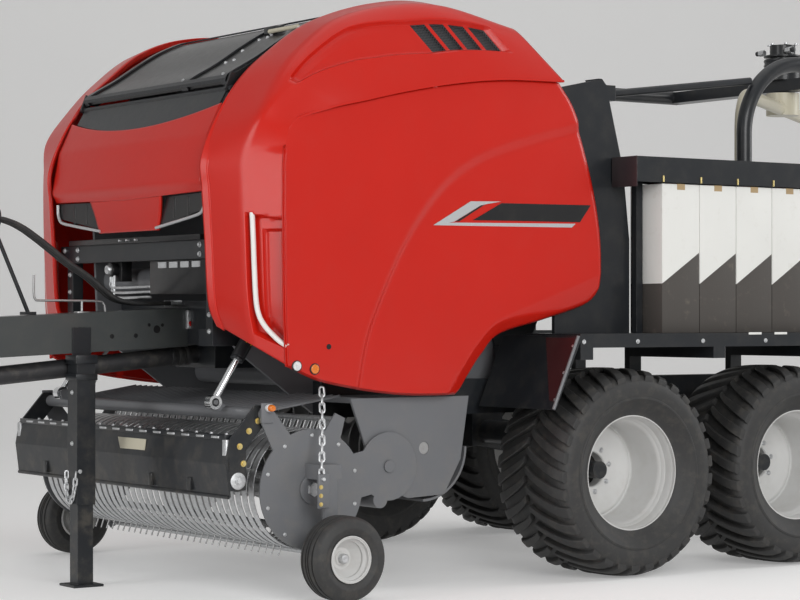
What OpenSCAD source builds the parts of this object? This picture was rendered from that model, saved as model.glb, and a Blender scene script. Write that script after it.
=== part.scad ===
// Towed round baler with a bale wrapper behind it, on a tandem axle
// X points forward, Y to the left, Z up, millimetres, origin on the ground in the middle

/* [Wheels] */
// Tyre outside diameter
tyre_d = 1060; // [800:10:1400]
// Tyre width
tyre_w = 560; // [400:10:700]
// Bead seat radius
bead_r = 286; // [200:1:350]
// Width between the rim flanges
bead_w = 400; // [300:1:500]
// Track between wheel centres
track = 2300; // [1900:10:2600]
// Front axle along the machine
axle_x = -100; // [-300:10:200]
// Spread of the two axles
axle_spread = 1150; // [1100:10:1400]
// Rim flange height
flange_h = 19; // [10:1:30]
// Rim flange thickness
flange_t = 12; // [6:1:20]
// Rim wall
rim_wall = 9; // [5:1:14]
// Depth of the rim's well
rim_well = 36; // [20:1:60]
// Rim disc offset from the middle
disc_y = -50; // [-90:1:40]
// Rise of the rim disc from the hub to the well
disc_rise = 110; // [60:1:130]
// Rim disc thickness
disc_t = 14; // [8:1:20]
// Hub radius
hub_r = 95; // [70:1:120]
// Hub depth behind the disc
hub_l = 100; // [60:1:160]
// Hub cap radius
cap_r = 55; // [40:1:70]
// Hub cap height
cap_h = 60; // [30:1:90]
// Stub axle radius
stub_r = 45; // [30:1:60]

/* [Gauge wheels] */
// Gauge tyre diameter
gauge_d = 400; // [300:5:500]
// Gauge tyre width
gauge_w = 165; // [120:5:200]
// Gauge bead seat radius
gauge_bead_r = 102; // [80:1:130]
// Gauge rim width
gauge_bead_w = 130; // [100:1:160]
// Gauge wheel along the machine
gauge_x = 1658; // [1500:1:1900]
// Gauge wheel centre from the middle
gauge_y = 1370; // [1300:1:1450]
// Gauge stub axle radius
gauge_stub_r = 15; // [10:1:20]

/* [Main frame] */
// Inner face of the rails
rail_y = 630; // [600:5:700]
// Rail width
rail_w = 80; // [60:5:120]
// Rail height
rail_h = 180; // [120:5:240]
// Underside of the rails
rail_z = 820; // [700:5:900]
// Front end of the rails
rail_front_x = 1350; // [1200:10:1450]
// Rear end of the rails
rail_rear_x = -1850; // [-2000:10:-1700]
// Underside of the rear beams
rear_z = 560; // [500:5:650]
// Height of the rear beams
rear_h = 120; // [80:5:150]
// Inner face of the rear beams
rear_y = 500; // [400:5:550]
// Rear face of the rear cross beam
rear_x = -3530; // [-3600:5:-3300]
// Half width of the rear cross beam
rear_half_w = 1150; // [900:10:1250]
// Cross beam depth
beam_d = 100; // [60:5:140]
// Bogie pivot height
bogie_z = 640; // [580:5:700]
// Bogie pivot tube radius
bogie_r = 70; // [50:5:90]
// Bogie beam width
bogie_w = 90; // [60:5:120]
// Bogie beam half height
bogie_half_h = 85; // [60:5:120]
// Bogie bracket half length
bracket_half = 110; // [80:5:150]

/* [Drawbar] */
// Rear end of the drawbar
drawbar_rear_x = 1760; // [1700:5:1850]
// Middle height at the rear end
drawbar_rear_z = 1268; // [1150:1:1350]
// Height of the beam
drawbar_h = 196; // [140:1:240]
// Width of the beam
drawbar_w = 200; // [140:5:260]
// Where the beam bends down
drawbar_bend_x = 3000; // [2800:10:3150]
// Middle height at the bend
drawbar_bend_z = 1212; // [1100:1:1300]
// Front end of the beam
drawbar_tip_x = 3380; // [3300:5:3420]
// Middle height at the front end
drawbar_tip_z = 1100; // [900:5:1150]
// Height at the front end
drawbar_tip_h = 130; // [100:5:180]
// Coupling eye centre
eye_x = 3490; // [3450:1:3520]
// Coupling eye outside radius
eye_r = 60; // [45:1:80]
// Coupling eye bore radius
eye_bore_r = 25; // [20:0.5:32]
// Coupling eye height
eye_h = 45; // [30:1:60]
// Flange plate thickness
eye_flange = 20; // [10:1:30]
// Shank half width
shank_half = 38; // [25:1:45]

/* [Parking jack] */
// Jack along the machine
jack_x = 2360; // [2200:5:2500]
// Jack to the left of the middle
jack_y = 105; // [100:1:160]
// Sleeve width
jack_w = 100; // [80:2:120]
// Sleeve wall
jack_wall = 8; // [5:0.5:12]
// Clearance of the leg
jack_gap = 0.1; // [0.05:0.05:1]
// Lower end of the sleeve
jack_low_z = 400; // [350:5:500]
// Upper end of the sleeve
jack_top_z = 1125; // [1050:5:1200]
// Upper end of the leg
jack_leg_z = 665; // [600:5:700]
// Foot plate width
foot_w = 160; // [120:5:220]
// Foot plate thickness
foot_t = 12; // [8:1:16]

/* [Drive shaft] */
// Rear end of the guard tube
pto_rear_x = 1665; // [1600:5:1700]
// Height at the rear end
pto_rear_z = 1130; // [1050:1:1150]
// Front end of the guard tube behind the drawbar's tip
pto_back = 330; // [280:5:450]
// Height at the front end
pto_front_z = 1008; // [950:1:1100]
// Guard tube radius
pto_r = 46; // [35:1:60]
// Yoke radius
yoke_r = 58; // [45:1:70]
// Yoke length
yoke_l = 110; // [80:5:150]
// Yoke bore radius
yoke_bore_r = 17.5; // [15:0.5:23]
// Bore depth
yoke_bore_l = 70; // [50:5:90]

/* [Bale chamber] */
// Inner face of the chamber walls
wall_y = 610; // [580:5:620]
// Wall thickness
wall_t = 20; // [8:1:20]
// Rear end of the walls
wall_rear_x = 150; // [100:5:250]
// Underside of the walls
wall_z = 840; // [825:5:900]
// Length of the walls
wall_l = 1780; // [1600:10:1800]
// Height of the walls
wall_h = 1860; // [1700:10:1900]
// Chamber centre along the machine
chamber_x = 950; // [900:5:1000]
// Chamber centre height
chamber_z = 1800; // [1700:5:1850]
// Chamber roller radius
roller_r = 60; // [40:1:90]
// Roof beam height
roof_h = 60; // [40:1:80]
// Roof beam width
roof_w = 90; // [60:1:120]
// Half length of the roof beams
roof_half = 885; // [860:1:890]
// Front roof beam
roof_front_x = 1180; // [1150:5:1250]
// Rear roof beam
roof_rear_x = 650; // [640:5:800]
// Hinge rail from the middle
hinge_y = 900; // [895:1:903]
// Hinge rail height
hinge_z = 2745; // [2730:1:2755]
// Hinge rail radius
hinge_r = 20; // [12:1:25]

/* [Tailgate] */
// Hinge along the machine
gate_x = 520; // [500:5:540]
// Hinge height
gate_z = 2640; // [2600:5:2660]
// Hinge pin radius
gate_pin_r = 30; // [20:1:40]
// Hinge boss radius
gate_boss_r = 58; // [50:1:62]
// Clearance beside the walls
gate_gap = 6; // [5:0.5:8]
// Side plate thickness
gate_t = 16; // [8:1:20]
// Shell thickness
shell_t = 40; // [20:1:50]
// Depth of the tailgate behind its hinge
gate_l = 690; // [600:5:700]
// Height of the tailgate below its hinge
gate_h = 1565; // [1500:5:1580]

/* [Feed housing] */
// Inner face of the side plates
feed_y = 1105; // [1100:1:1108]
// Plate thickness
feed_t = 15; // [8:1:18]
// Upper edge of the plates
feed_z = 930; // [900:5:940]
// Rear end of the plates
feed_rear_x = 750; // [700:5:800]
// Length of the plates
feed_l = 700; // [650:5:720]
// Height of the plates
feed_h = 490; // [450:5:500]
// Intake rotor along the machine
rotor_x = 1020; // [980:5:1050]
// Intake rotor height
rotor_z = 680; // [660:5:700]
// Intake rotor tip radius
rotor_r = 235; // [200:5:240]
// Intake rotor drum radius
rotor_drum_r = 80; // [60:1:100]
// Trough clearance around the rotor
trough_gap = 15; // [10:1:20]
// Trough sheet
trough_t = 12; // [8:1:15]
// Rotor star thickness
star_t = 12; // [8:1:16]
// Rotor star pitch
star_pitch = 100; // [80:1:120]
// Rotor stub radius
rotor_stub_r = 30; // [20:1:35]

/* [Pick-up] */
// Pick-up pivot along the machine
pick_x = 1240; // [1200:5:1280]
// Pick-up pivot height
pick_z = 600; // [580:5:640]
// Pivot pin radius
pick_pin_r = 30; // [20:1:35]
// Reel axis along the machine
reel_x = 1680; // [1650:5:1720]
// Reel axis height
reel_z = 508; // [490:1:520]
// Radius over the stripper bands
band_r = 285; // [260:1:300]
// Stripper band thickness
band_t = 4; // [3:0.5:6]
// Stripper band width
band_w = 43; // [35:1:50]
// Stripper band pitch
band_pitch = 62; // [55:1:70]
// Half angle that the bands wrap
band_wrap = 115; // [105:1:125]
// Band carrier bar radius
band_bar_r = 14; // [10:1:18]
// Clearance of the carrier bars outside the tine tips
band_bar_gap = 9; // [6:1:15]
// Inner face of the end plates
end_y = 1128; // [1120:1:1135]
// End plate thickness
end_t = 10; // [6:1:12]
// Pivot end radius of the side plates
pivot_end_r = 165; // [120:1:170]
// Arm half height at the reel
arm_r = 110; // [80:1:130]
// Tine tip radius
tine_tip_r = 335; // [300:1:340]
// Tine radius
tine_r = 4; // [3:0.5:5]
// Tine bar circle radius
tine_bar_c = 190; // [150:1:210]
// Tine bar radius
tine_bar_r = 18; // [12:1:22]
// Reel tube radius
reel_tube_r = 50; // [35:1:60]
// Reel stub radius
reel_stub_r = 25; // [18:1:30]
// Reel spider thickness
spider_t = 10; // [6:1:12]
// Top tube along the machine
top_x = 1930; // [1900:5:1960]
// Top tube height
top_z = 864; // [850:1:880]
// Top tube radius
top_r = 30; // [20:1:35]
// Rear cross tube along the machine
cross_x = 1290; // [1270:5:1300]
// Rear cross tube height
cross_z = 440; // [430:5:450]
// Rear cross tube radius
cross_r = 40; // [30:1:50]
// Wind guard rod radius
rod_r = 6; // [4:0.5:8]
// Rear end of the wind guard rods
rod_x = 1450; // [1420:5:1500]
// Height of the rods' rear end
rod_z = 940; // [920:5:960]
// Gauge bracket half length
gauge_half = 60; // [40:1:80]
// Gauge bracket underside
gauge_low_z = 560; // [540:5:600]
// Gauge bracket height
gauge_h = 70; // [50:1:90]
// Gauge arm plate inner face
gauge_arm_y = 1250; // [1245:1:1255]
// Gauge arm plate thickness
gauge_arm_t = 22; // [12:1:24]
// Gauge arm half width
gauge_arm_half = 35; // [25:1:45]

/* [Crop press] */
// Roller along the machine
press_x = 2070; // [2065:5:2100]
// Roller height
press_z = 560; // [540:5:600]
// Roller radius
press_r = 50; // [40:1:60]
// Arm outer face
press_y = 1112; // [1100:1:1120]
// Arm thickness
press_t = 12; // [8:1:15]
// Arm half width
press_half = 45; // [35:1:55]
// Plate front along the machine
press_plate_x = 2135; // [2125:5:2150]
// Plate lower edge
press_low_z = 486; // [470:1:500]
// Plate bend height
press_mid_z = 640; // [600:1:660]
// Plate upper edge
press_top_z = 750; // [730:1:770]
// Plate sheet
press_sheet = 8; // [5:0.5:10]

/* [Lift cylinders] */
// Cylinder from the middle
lift_y = 800; // [790:1:810]
// Upper pivot along the machine
lift_x = 1720; // [1700:5:1730]
// Upper pivot height
lift_z = 1380; // [1360:5:1400]
// Rod eye along the machine
lift_eye_x = 2020; // [2000:5:2040]
// Rod eye height
lift_eye_z = 915; // [900:5:930]
// Barrel radius
barrel_r = 34; // [28:1:40]
// Barrel length
barrel_l = 300; // [280:5:320]
// Rod radius
ram_r = 18; // [14:1:22]
// Start of the rod along the cylinder
ram_start = 260; // [220:1:270]
// Pivot pin radius
lift_pin_r = 12; // [10:1:15]
// Loose eye radius
loose_r = 20; // [18:1:22]
// Eye outside radius
lift_ring_r = 34; // [30:1:40]
// Eye half width
lift_ring_w = 25; // [20:1:28]

/* [Front frame] */
// Rear face of the cross beam
front_x = 1660; // [1650:5:1680]
// Underside of the cross beam
front_z = 1180; // [1170:5:1200]
// Cross beam height
front_h = 220; // [180:5:240]
// Outer face of the posts
post_y = 760; // [740:5:770]
// Post front face
post_x = 2000; // [1980:5:2010]
// Post depth
post_d = 60; // [40:1:80]
// Post width
post_w = 60; // [40:1:80]
// Side arm height
side_arm_h = 80; // [60:1:100]
// Upper bar underside
bar_z = 1600; // [1580:5:1620]
// Upper bar height
bar_h = 90; // [60:1:100]
// Upper bar half length
bar_half = 838; // [800:1:840]
// Gearbox length
gear_l = 260; // [200:5:280]
// Gearbox half width
gear_half = 200; // [150:5:250]
// Gearbox underside
gear_z = 1060; // [1050:5:1080]
// Gearbox height
gear_h = 270; // [200:5:300]

/* [Covers] */
// Outside of the side covers
cover_y = 1240; // [1200:5:1300]
// Cover skin
cover_t = 25; // [10:1:30]
// Rear end of the covers
cover_x = -40; // [-60:1:0]
// Length of the side face
cover_l = 1930; // [1800:5:2000]
// Lower edge of the covers
cover_z = 940; // [900:5:960]
// Height of the side face
cover_h = 1650; // [1600:5:1700]
// Knuckle half spread
knuckle_half = 150; // [120:5:200]
// Knuckle length
knuckle_l = 80; // [60:1:100]
// Knuckle radius
knuckle_r = 33; // [28:1:36]
// Web top
web_z = 2850; // [2830:1:2855]
// Web width
web_w = 50; // [40:1:55]

/* [Front hood] */
// Half width of the hood
hood_half = 782; // [760:1:800]
// Half width of the lower panel at its foot
panel_low_half = 310; // [280:5:340]
// Half width of the lower panel at its top
panel_half = 373; // [345:1:400]
// Lower edge of the panel
panel_z = 1745; // [1720:5:1760]
// Lower edge of the wings
hood_z = 1900; // [1870:5:1910]
// Upper edge of the wings
hood_top_z = 2343; // [2330:1:2360]
// Hood front along the machine
hood_x = 2104; // [2095:1:2115]
// Depth from the front to the wings' upper edge
hood_deep = 119; // [100:1:130]
// Hood skin
hood_t = 30; // [15:1:35]
// Side gap at the hinge ears
ear_gap = 7; // [5:1:12]
// Hood hinge along the machine
hood_pin_x = 1905; // [1900:1:1910]
// Hood hinge height
hood_pin_z = 2415; // [2410:1:2420]
// Hood pin radius
hood_pin_r = 12; // [10:1:15]

/* [Net bin] */
// Rear face of the bin
bin_x = 1250; // [1200:5:1300]
// Length of the bin
bin_l = 645; // [620:1:650]
// Height of the bin
bin_h = 410; // [400:1:420]
// Underside of the bin
bin_z = 2440; // [2430:1:2445]
// Setback of the bin from the hood's ends
bin_side = 22; // [20:1:40]
// Bin sheet
bin_t = 15; // [8:1:15]

/* [Rear quarters] */
// Outside of the quarter panels
quarter_y = 1110; // [1100:1:1115]
// Panel sheet
quarter_t = 25; // [10:1:30]
// Inner edge of the return
quarter_in_y = 1000; // [990:1:1010]
// Front edge of the panels
quarter_front_x = 200; // [150:5:220]
// Length of the panels
quarter_l = 493; // [450:1:500]
// Height of the panels
quarter_h = 1310; // [1280:1:1320]

/* [Platforms] */
// Deck height
deck_z = 1235; // [1220:1:1250]
// Deck sheet
deck_t = 10; // [6:1:12]
// Front end of the deck
deck_front_x = 250; // [200:5:300]
// Rear end of the deck
deck_rear_x = -1450; // [-1500:5:-1400]
// Outer face of the outer beam
deck_y = 1380; // [1350:5:1400]
// Beam size
deck_beam = 60; // [40:1:70]
// Inner face of the inner beam
deck_in_y = 940; // [930:1:945]
// Support height
support_h = 60; // [40:1:65]
// Support width
support_w = 80; // [50:1:100]
// Setback of the supports from the rails' inner face
support_back = 36; // [30:1:40]
// Foot of the mudguard
guard_x = 408; // [400:1:430]
// Lower edge of the mudguard
guard_z = 860; // [840:1:880]
// Mudguard sheet
guard_t = 12; // [6:1:15]
// Inner edge of the mudguard
guard_y = 760; // [750:1:800]

/* [Film magazine] */
// Front face of the first carton
box_x = -345; // [-350:1:-340]
// Carton length
box_l = 254; // [240:1:255]
// Carton pitch
box_pitch = 257; // [256:1:260]
// Carton height
box_h = 770; // [750:5:775]
// Inner face of the cartons
box_y = 1055; // [1050:1:1060]
// Carton width
box_w = 255; // [240:1:260]
// Front end of the top rail
top_rail_x = -170; // [-180:1:-150]
// Rear end of the top rail
top_rail_end = -1420; // [-1450:1:-1400]
// Inner face of the top rail
top_rail_y = 1120; // [1115:1:1130]
// Width of the top rail
top_rail_w = 200; // [180:1:210]
// Height of the top rail
top_rail_h = 130; // [100:1:140]
// Rail sheet
top_rail_t = 8; // [4:0.5:10]
// Carton to rail gap
box_gap = 5; // [3:0.5:8]
// Post size
mag_post = 40; // [30:1:42]

/* [Gantry] */
// Gantry legs along the machine
leg_x = -1230; // [-1260:5:-1200]
// Gantry legs from the middle
leg_y = 970; // [960:1:975]
// Leg tube radius
leg_r = 42; // [35:1:45]
// Leg bend radius
leg_bend = 400; // [300:10:450]
// Height of the top tubes
leg_top_z = 2720; // [2700:5:2740]
// Wrapping axis along the machine
wrap_x = -2450; // [-2500:10:-2400]
// Head beam width
head_w = 120; // [100:5:140]
// Head beam height
head_h = 70; // [50:5:80]
// Stay tube radius
stay_r = 20; // [15:1:25]
// Stay front end
stay_x = -200; // [-210:1:-190]
// Stay front height
stay_z = 2475; // [2460:1:2490]
// Stay rear height
stay_rear_z = 2610; // [2590:1:2620]
// Drive radius
drive_r = 110; // [90:1:130]
// Drive height
drive_h = 215; // [180:5:240]
// Drive shaft radius
drive_shaft_r = 40; // [30:1:45]
// Drive shaft length
drive_shaft_l = 85; // [60:1:90]

/* [Wrapping arms] */
// Parked angle of the arms
wrap_angle = 35; // [0:1:90]
// Radius of the arm posts
post_orbit = 1190; // [1150:5:1200]
// Arm tube radius
arm_tube_r = 38; // [30:1:45]
// Arm bend radius
arm_bend = 200; // [150:5:240]
// Arm height
arm_z = 2580; // [2560:5:2600]
// Lower end of the posts
post_low_z = 1190; // [1150:5:1220]
// Rotor hub radius
wrap_hub_r = 100; // [80:1:120]
// Rotor hub height
wrap_hub_h = 135; // [100:5:140]
// Gap under the head beam
wrap_gap = 8; // [5:1:12]
// Stretcher plate thickness
stretch_t = 12; // [8:1:16]
// Stretcher lower plate
stretch_z = 1230; // [1220:5:1250]
// Stretcher upper plate
stretch_top_z = 2050; // [2030:5:2080]
// Stretcher inner radius
stretch_in = 985; // [980:1:1000]
// Stretcher outer radius
stretch_out = 1240; // [1235:1:1250]
// Stretcher leading edge
stretch_lead = 120; // [100:5:140]
// Stretcher trailing edge
stretch_trail = 355; // [340:5:360]
// Pre-stretch roller radius
stretch_r = 42; // [35:1:45]
// Pre-stretch roller orbit
stretch_orbit = 1055; // [1040:1:1070]
// Pre-stretch roller half spacing
stretch_half = 50; // [46:1:55]
// Film roll radius
film_r = 118; // [80:1:120]
// Film roll height
film_h = 750; // [500:10:760]
// Film roll orbit
film_orbit = 1112; // [1105:1:1120]
// Film roll offset
film_off = 232; // [225:1:240]
// Film core radius
core_r = 38; // [30:1:40]

/* [Wrapping table] */
// Table pivot behind the wrapping axis
table_back = 600; // [580:5:640]
// Table pivot height
table_z = 720; // [715:1:730]
// Table pivot radius
table_pin_r = 30; // [20:1:35]
// Table arm inner face
table_y = 590; // [585:1:600]
// Table arm thickness
table_t = 30; // [20:1:40]
// Roller radius
table_roller_r = 100; // [80:1:110]
// Roller height
table_roller_z = 800; // [795:1:820]
// Half spacing of the rollers
table_half = 420; // [380:5:450]
// Roller half length
table_roller_half = 565; // [540:1:568]
// Roller stub radius
table_stub_r = 25; // [18:1:30]
// Table arm half height
table_arm_half = 60; // [45:1:65]
// Front end of the table arms
table_front_x = -1950; // [-1980:5:-1920]
// Cross tube radius
table_tube_r = 30; // [20:1:35]

/* [Transfer fork] */
// Fork pivot along the machine
fork_x = -1500; // [-1550:5:-1480]
// Fork pivot height
fork_z = 720; // [710:1:730]
// Fork pivot radius
fork_r = 35; // [25:1:40]
// Fork length
fork_l = 1180; // [1100:5:1200]
// Fork height
fork_h = 190; // [170:1:200]
// Fork tine inner face
fork_y = 300; // [250:5:320]
// Fork tine thickness
fork_t = 70; // [50:1:75]
// Fork bar half length
fork_bar_half = 520; // [450:5:540]
// Lug inner face
lug_y = 390; // [385:1:400]
// Lug thickness
lug_t = 50; // [30:1:60]
// Lug half width
lug_half = 45; // [40:1:50]

/* [Lamps and hoses] */
// Lamp box thickness
lamp_t = 20; // [15:1:20]
// Lamp box width
lamp_w = 180; // [120:5:220]
// Lamp box height
lamp_h = 100; // [80:1:110]
// Hose support foot along the machine
hose_x = 2597; // [2550:1:2650]
// Hose loop along the machine
hose_loop_x = 2775; // [2700:1:2800]
// Hose loop height
hose_loop_z = 1800; // [1700:1:1850]
// Support rod radius
hose_rod_r = 10; // [6:1:14]
// Hose loop radius
hose_loop_r = 58; // [50:1:70]
// Hose radius
hose_r = 11; // [8:1:14]
// Hose spacing
hose_gap = 30; // [26:1:32]
// Coupler plate along the machine
coupler_x = 2960; // [2900:5:2980]
// Coupler plate height
coupler_h = 120; // [80:5:150]
// Coupler plate thickness
coupler_t = 10; // [6:1:12]

/* [Hidden] */
$fn = 48;
// Seat gap between round pieces of one body
seat_gap = 0.3;
// Running clearance of pins
run_gap = 0.05;
// Overrun of cuts
over = 20;
axle_z = tyre_d / 2;
pto_front_x = drawbar_tip_x - pto_back;
bin_half = hood_half - bin_side;
table_x = wrap_x - table_back;
axle_mid_x = axle_x - axle_spread / 2;
wheel_y = track / 2;
gauge_z = gauge_d / 2;
gauge_k = gauge_bead_r / bead_r;
rail_top_z = rail_z + rail_h;
wall_top_z = wall_z + wall_h;
wrap_hub_top = leg_top_z - head_h / 2 - wrap_gap;
lift_v = [lift_eye_x - lift_x, 0, lift_eye_z - lift_z];
lift_l = norm(lift_v);
pto_run = [pto_front_x - pto_rear_x, 0, pto_front_z - pto_rear_z];
pto_v = pto_run / norm(pto_run);
lift_tilt = atan2(lift_v[0], lift_v[2]);
bands = floor(2 * (end_y - band_w) / band_pitch / 2) * 2;
band_bar_c = tine_tip_r + band_bar_gap + band_bar_r;

// Outline tables, as shares of the sizes named beside them
tyre_shares = [[0, 0], [0.086, 0], [0.2, 0.5], [0.45, 0.95], [0.6, 1], [0.8, 0.9], [0.92, 0.65], [0.985, 0.15],
    [1, -0.9]];
hood_shares = [[-0.454, 0], [-0.269, 0.279], [0, 0.366], [-0.353, 0.734], [-1, 1]];
cover_front_shares = [[0.987, 0.091], [0.997, 0.248], [1, 0.461], [0.999, 0.582], [0.995, 0.691],
    [0.97, 0.777], [0.87, 0.822], [0.767, 0.851], [0.642, 0.885], [0.487, 0.918], [0.332, 0.939],
    [0.14, 0.945]];
cover_rear_shares = [[0.088, 0.855], [0.036, 0.673], [0.005, 0.497], [0, 0.339], [0.013, 0.291], [0.052, 0.264],
    [0.194, 0.218], [0.324, 0.176], [0.383, 0.115], [0.43, 0.042], [0.456, 0], [0.666, 0.004], [0.873, 0.042]];
cover_crest_shares = [[1.034, 0.148, 0.855], [1.049, 0.279, 0.843], [1.057, 0.461, 0.843],
    [1.06, 0.6, 0.843], [1.056, 0.697, 0.851], [1.034, 0.801, 0.903], [0.972, 0.903, 0.903],
    [0.902, 0.994, 0.891], [0.788, 1.092, 0.879], [0.632, 1.142, 0.871], [0.461, 1.156, 0.871],
    [0.244, 1.109, 0.871]];
cover_edge_shares = [[1.057, 0.209, 0.641], [1.081, 0.279, 0.637], [1.091, 0.461, 0.637],
    [1.099, 0.603, 0.637], [1.103, 0.688, 0.637], [1.063, 0.801, 0.637], [1, 0.918, 0.637],
    [0.922, 1.004, 0.641], [0.808, 1.1, 0.673], [0.653, 1.162, 0.746], [0.477, 1.176, 0.75],
    [0.228, 1.121, 0.75]];
wall_shares = [[0, 0], [0.674, 0], [0.916, 0.167], [0.983, 0.247], [1, 0.624], [0.916, 0.839], [0.758, 0.978],
    [0.674, 1], [0.247, 1], [0.222, 0.941], [0, 0.134]];
wall_roller_shares = [[0.62, 0.1], [0.93, 0.36], [0.93, 0.72], [0.7, 0.93], [0.3, 0.95], [0.2, 0.14]];
gate_shares = [[-0.12, 0.04], [-0.39, 0], [-0.725, -0.166], [-0.94, -0.377], [-1, -0.569], [-0.928, -0.76],
    [-0.754, -0.92], [-0.594, -1]];
gate_front_shares = [[-0.42, -0.952], [0.05, -0.05]];
gate_roller_shares = [[-0.32, -0.13], [-0.8, -0.42], [-0.68, -0.82]];
feed_shares = [[0, 1], [1, 1], [0.771, 0.122], [0.514, 0], [0.214, 0.02], [0.071, 0.367]];
bin_shares = [[0, 0.7805], [0.357, 0.7805], [0.899, 0], [1, 0], [1, 0.146], [0.698, 0.732], [0.357, 1], [0, 1]];
quarter_shares = [[0, 0.95], [-0.63, 1], [-0.686, 0.977], [-0.917, 0.646], [-1, 0.369], [-1, 0], [0, 0]];
ear_shares = [[0.6, -0.14], [1.06, -0.04], [1.06, 0.04], [0.6, 0.14]];
fork_shares = [[-0.034, -0.16], [-0.034, 0.21], [0.085, 0.68], [0.975, 0.84], [1, 0.68], [0.1, 0.32],
    [0.042, -0.16]];

// Route of the hoses along the machine and up, from the front beam over the loop to the coupler plate
hose_route = [[1760, 1388], [1830, 1388], [1930, 1386], [2040, 1390], [2131, 1412], [2200, 1460], [2277, 1519],
    [2386, 1585], [2496, 1664], [2570, 1715], [2630, 1752], [2700, 1782], [2775, 1794], [2830, 1772], [2875, 1722],
    [2910, 1650], [2940, 1560], [2960, 1490], [2965, 1460], [2965, 1432]];

// Named shares used by several pieces
half_share = 0.5;
third_share = 0.34;

function back(list) = [for (i = [len(list) - 1 : -1 : 0]) list[i]];
function spread(shares, x, l, z, h) = [for (s = shares) [x + s[0] * l, z + s[1] * h]];
function drawbar_z(x) = drawbar_rear_z + (drawbar_bend_z - drawbar_rear_z) * (x - drawbar_rear_x)
    / (drawbar_bend_x - drawbar_rear_x);
function toward(p, c, d) = p + d * (c - p) / norm(c - p);

module block(x0, x1, y0, y1, z0, z1) {
    translate([x0, y0, z0])
        cube([x1 - x0, y1 - y0, z1 - z0]);
}

module plate(points, y0, y1) {
    translate([0, y1, 0])
        rotate([90, 0, 0])
            linear_extrude(y1 - y0)
                polygon(points);
}

module bar(x, z, r, y0, y1) {
    translate([x, y0, z])
        rotate([-90, 0, 0])
            cylinder(r = r, h = y1 - y0);
}

module tube(p, q, r) {
    v = q - p;
    translate(p)
        rotate([0, acos(v[2] / norm(v)), atan2(v[1], v[0])])
            cylinder(r = r, h = norm(v));
}

module both() {
    children();
    mirror([0, 1, 0])
        children();
}

module sweep(path, r) {
    n = len(path);
    sides = 8;
    rings = [for (i = [0 : n - 1])
        let (t = path[min(i + 1, n - 1)] - path[max(i - 1, 0)])
        let (u = t / norm(t))
        let (v = cross([0, 1, 0], u))
        let (m = v / norm(v))
        let (w = cross(u, m))
        for (k = [0 : sides - 1]) path[i] + r * (cos(360 * k / sides) * m + sin(360 * k / sides) * w)];
    skin = [for (i = [0 : n - 2]) for (k = [0 : sides - 1])
        [i * sides + k, i * sides + (k + 1) % sides, (i + 1) * sides + (k + 1) % sides, (i + 1) * sides + k]];
    caps = [[for (k = [sides - 1 : -1 : 0]) k], [for (k = [0 : sides - 1]) (n - 1) * sides + k]];
    polyhedron(points = rings, faces = [for (f = concat(skin, caps)) back(f)], convexity = 6);
}

module tyre_ring(d, w, seat, bw) {
    side = [for (s = tyre_shares) [seat + s[0] * (d / 2 - seat), bw / 2 + s[1] * (w - bw) / 2]];
    rotate([-90, 0, 0])
        rotate_extrude()
            polygon(concat(side, [for (p = back(side)) [p[0], -p[1]]]));
}

module rim_ring(seat, bw, k, bore) {
    s = seat - seat_gap;
    well = s - rim_well * k;
    wall = rim_wall * k;
    lip = bw / 2 + seat_gap;
    out = bw / 2 + flange_t * k;
    up = [[seat + flange_h * k, out], [seat + flange_h * k, lip], [s, lip], [s, 0.75 * lip], [well, 0.55 * lip]];
    inside = [[well - wall, 0.58 * lip], [s - wall, 0.78 * lip], [s - wall, out]];
    y = disc_y * k;
    t = disc_t * k;
    rotate([-90, 0, 0])
        union() {
            rotate_extrude()
                polygon(concat(up, [for (p = back(up)) [p[0], -p[1]]], [for (p = back(inside)) [p[0], -p[1]]], inside));
            rotate_extrude()
                polygon([[well - wall / 2, y + disc_rise * k], [well - wall / 2, y + disc_rise * k + t],
                    [1.5 * hub_r * k, y + t], [0.9 * hub_r * k, y + t], [0.9 * hub_r * k, y], [1.5 * hub_r * k, y]]);
            rotate_extrude()
                polygon([[0, y + cap_h * k], [0.8 * cap_r * k, y + cap_h * k], [cap_r * k, y + 0.8 * cap_h * k],
                    [cap_r * k, y + 2 * t], [hub_r * k, y + 2 * t], [hub_r * k, y - hub_l * k],
                    [bore + run_gap, y - hub_l * k], [bore + run_gap, y + t], [0, y + t]]);
        }
}

module wheel_at(x, side) {
    translate([x, side * wheel_y, axle_z])
        mirror([0, side < 0 ? 1 : 0, 0])
            children();
}

module gauge_at(side) {
    translate([gauge_x, side * gauge_y, gauge_z])
        mirror([0, side < 0 ? 1 : 0, 0])
            children();
}

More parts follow.
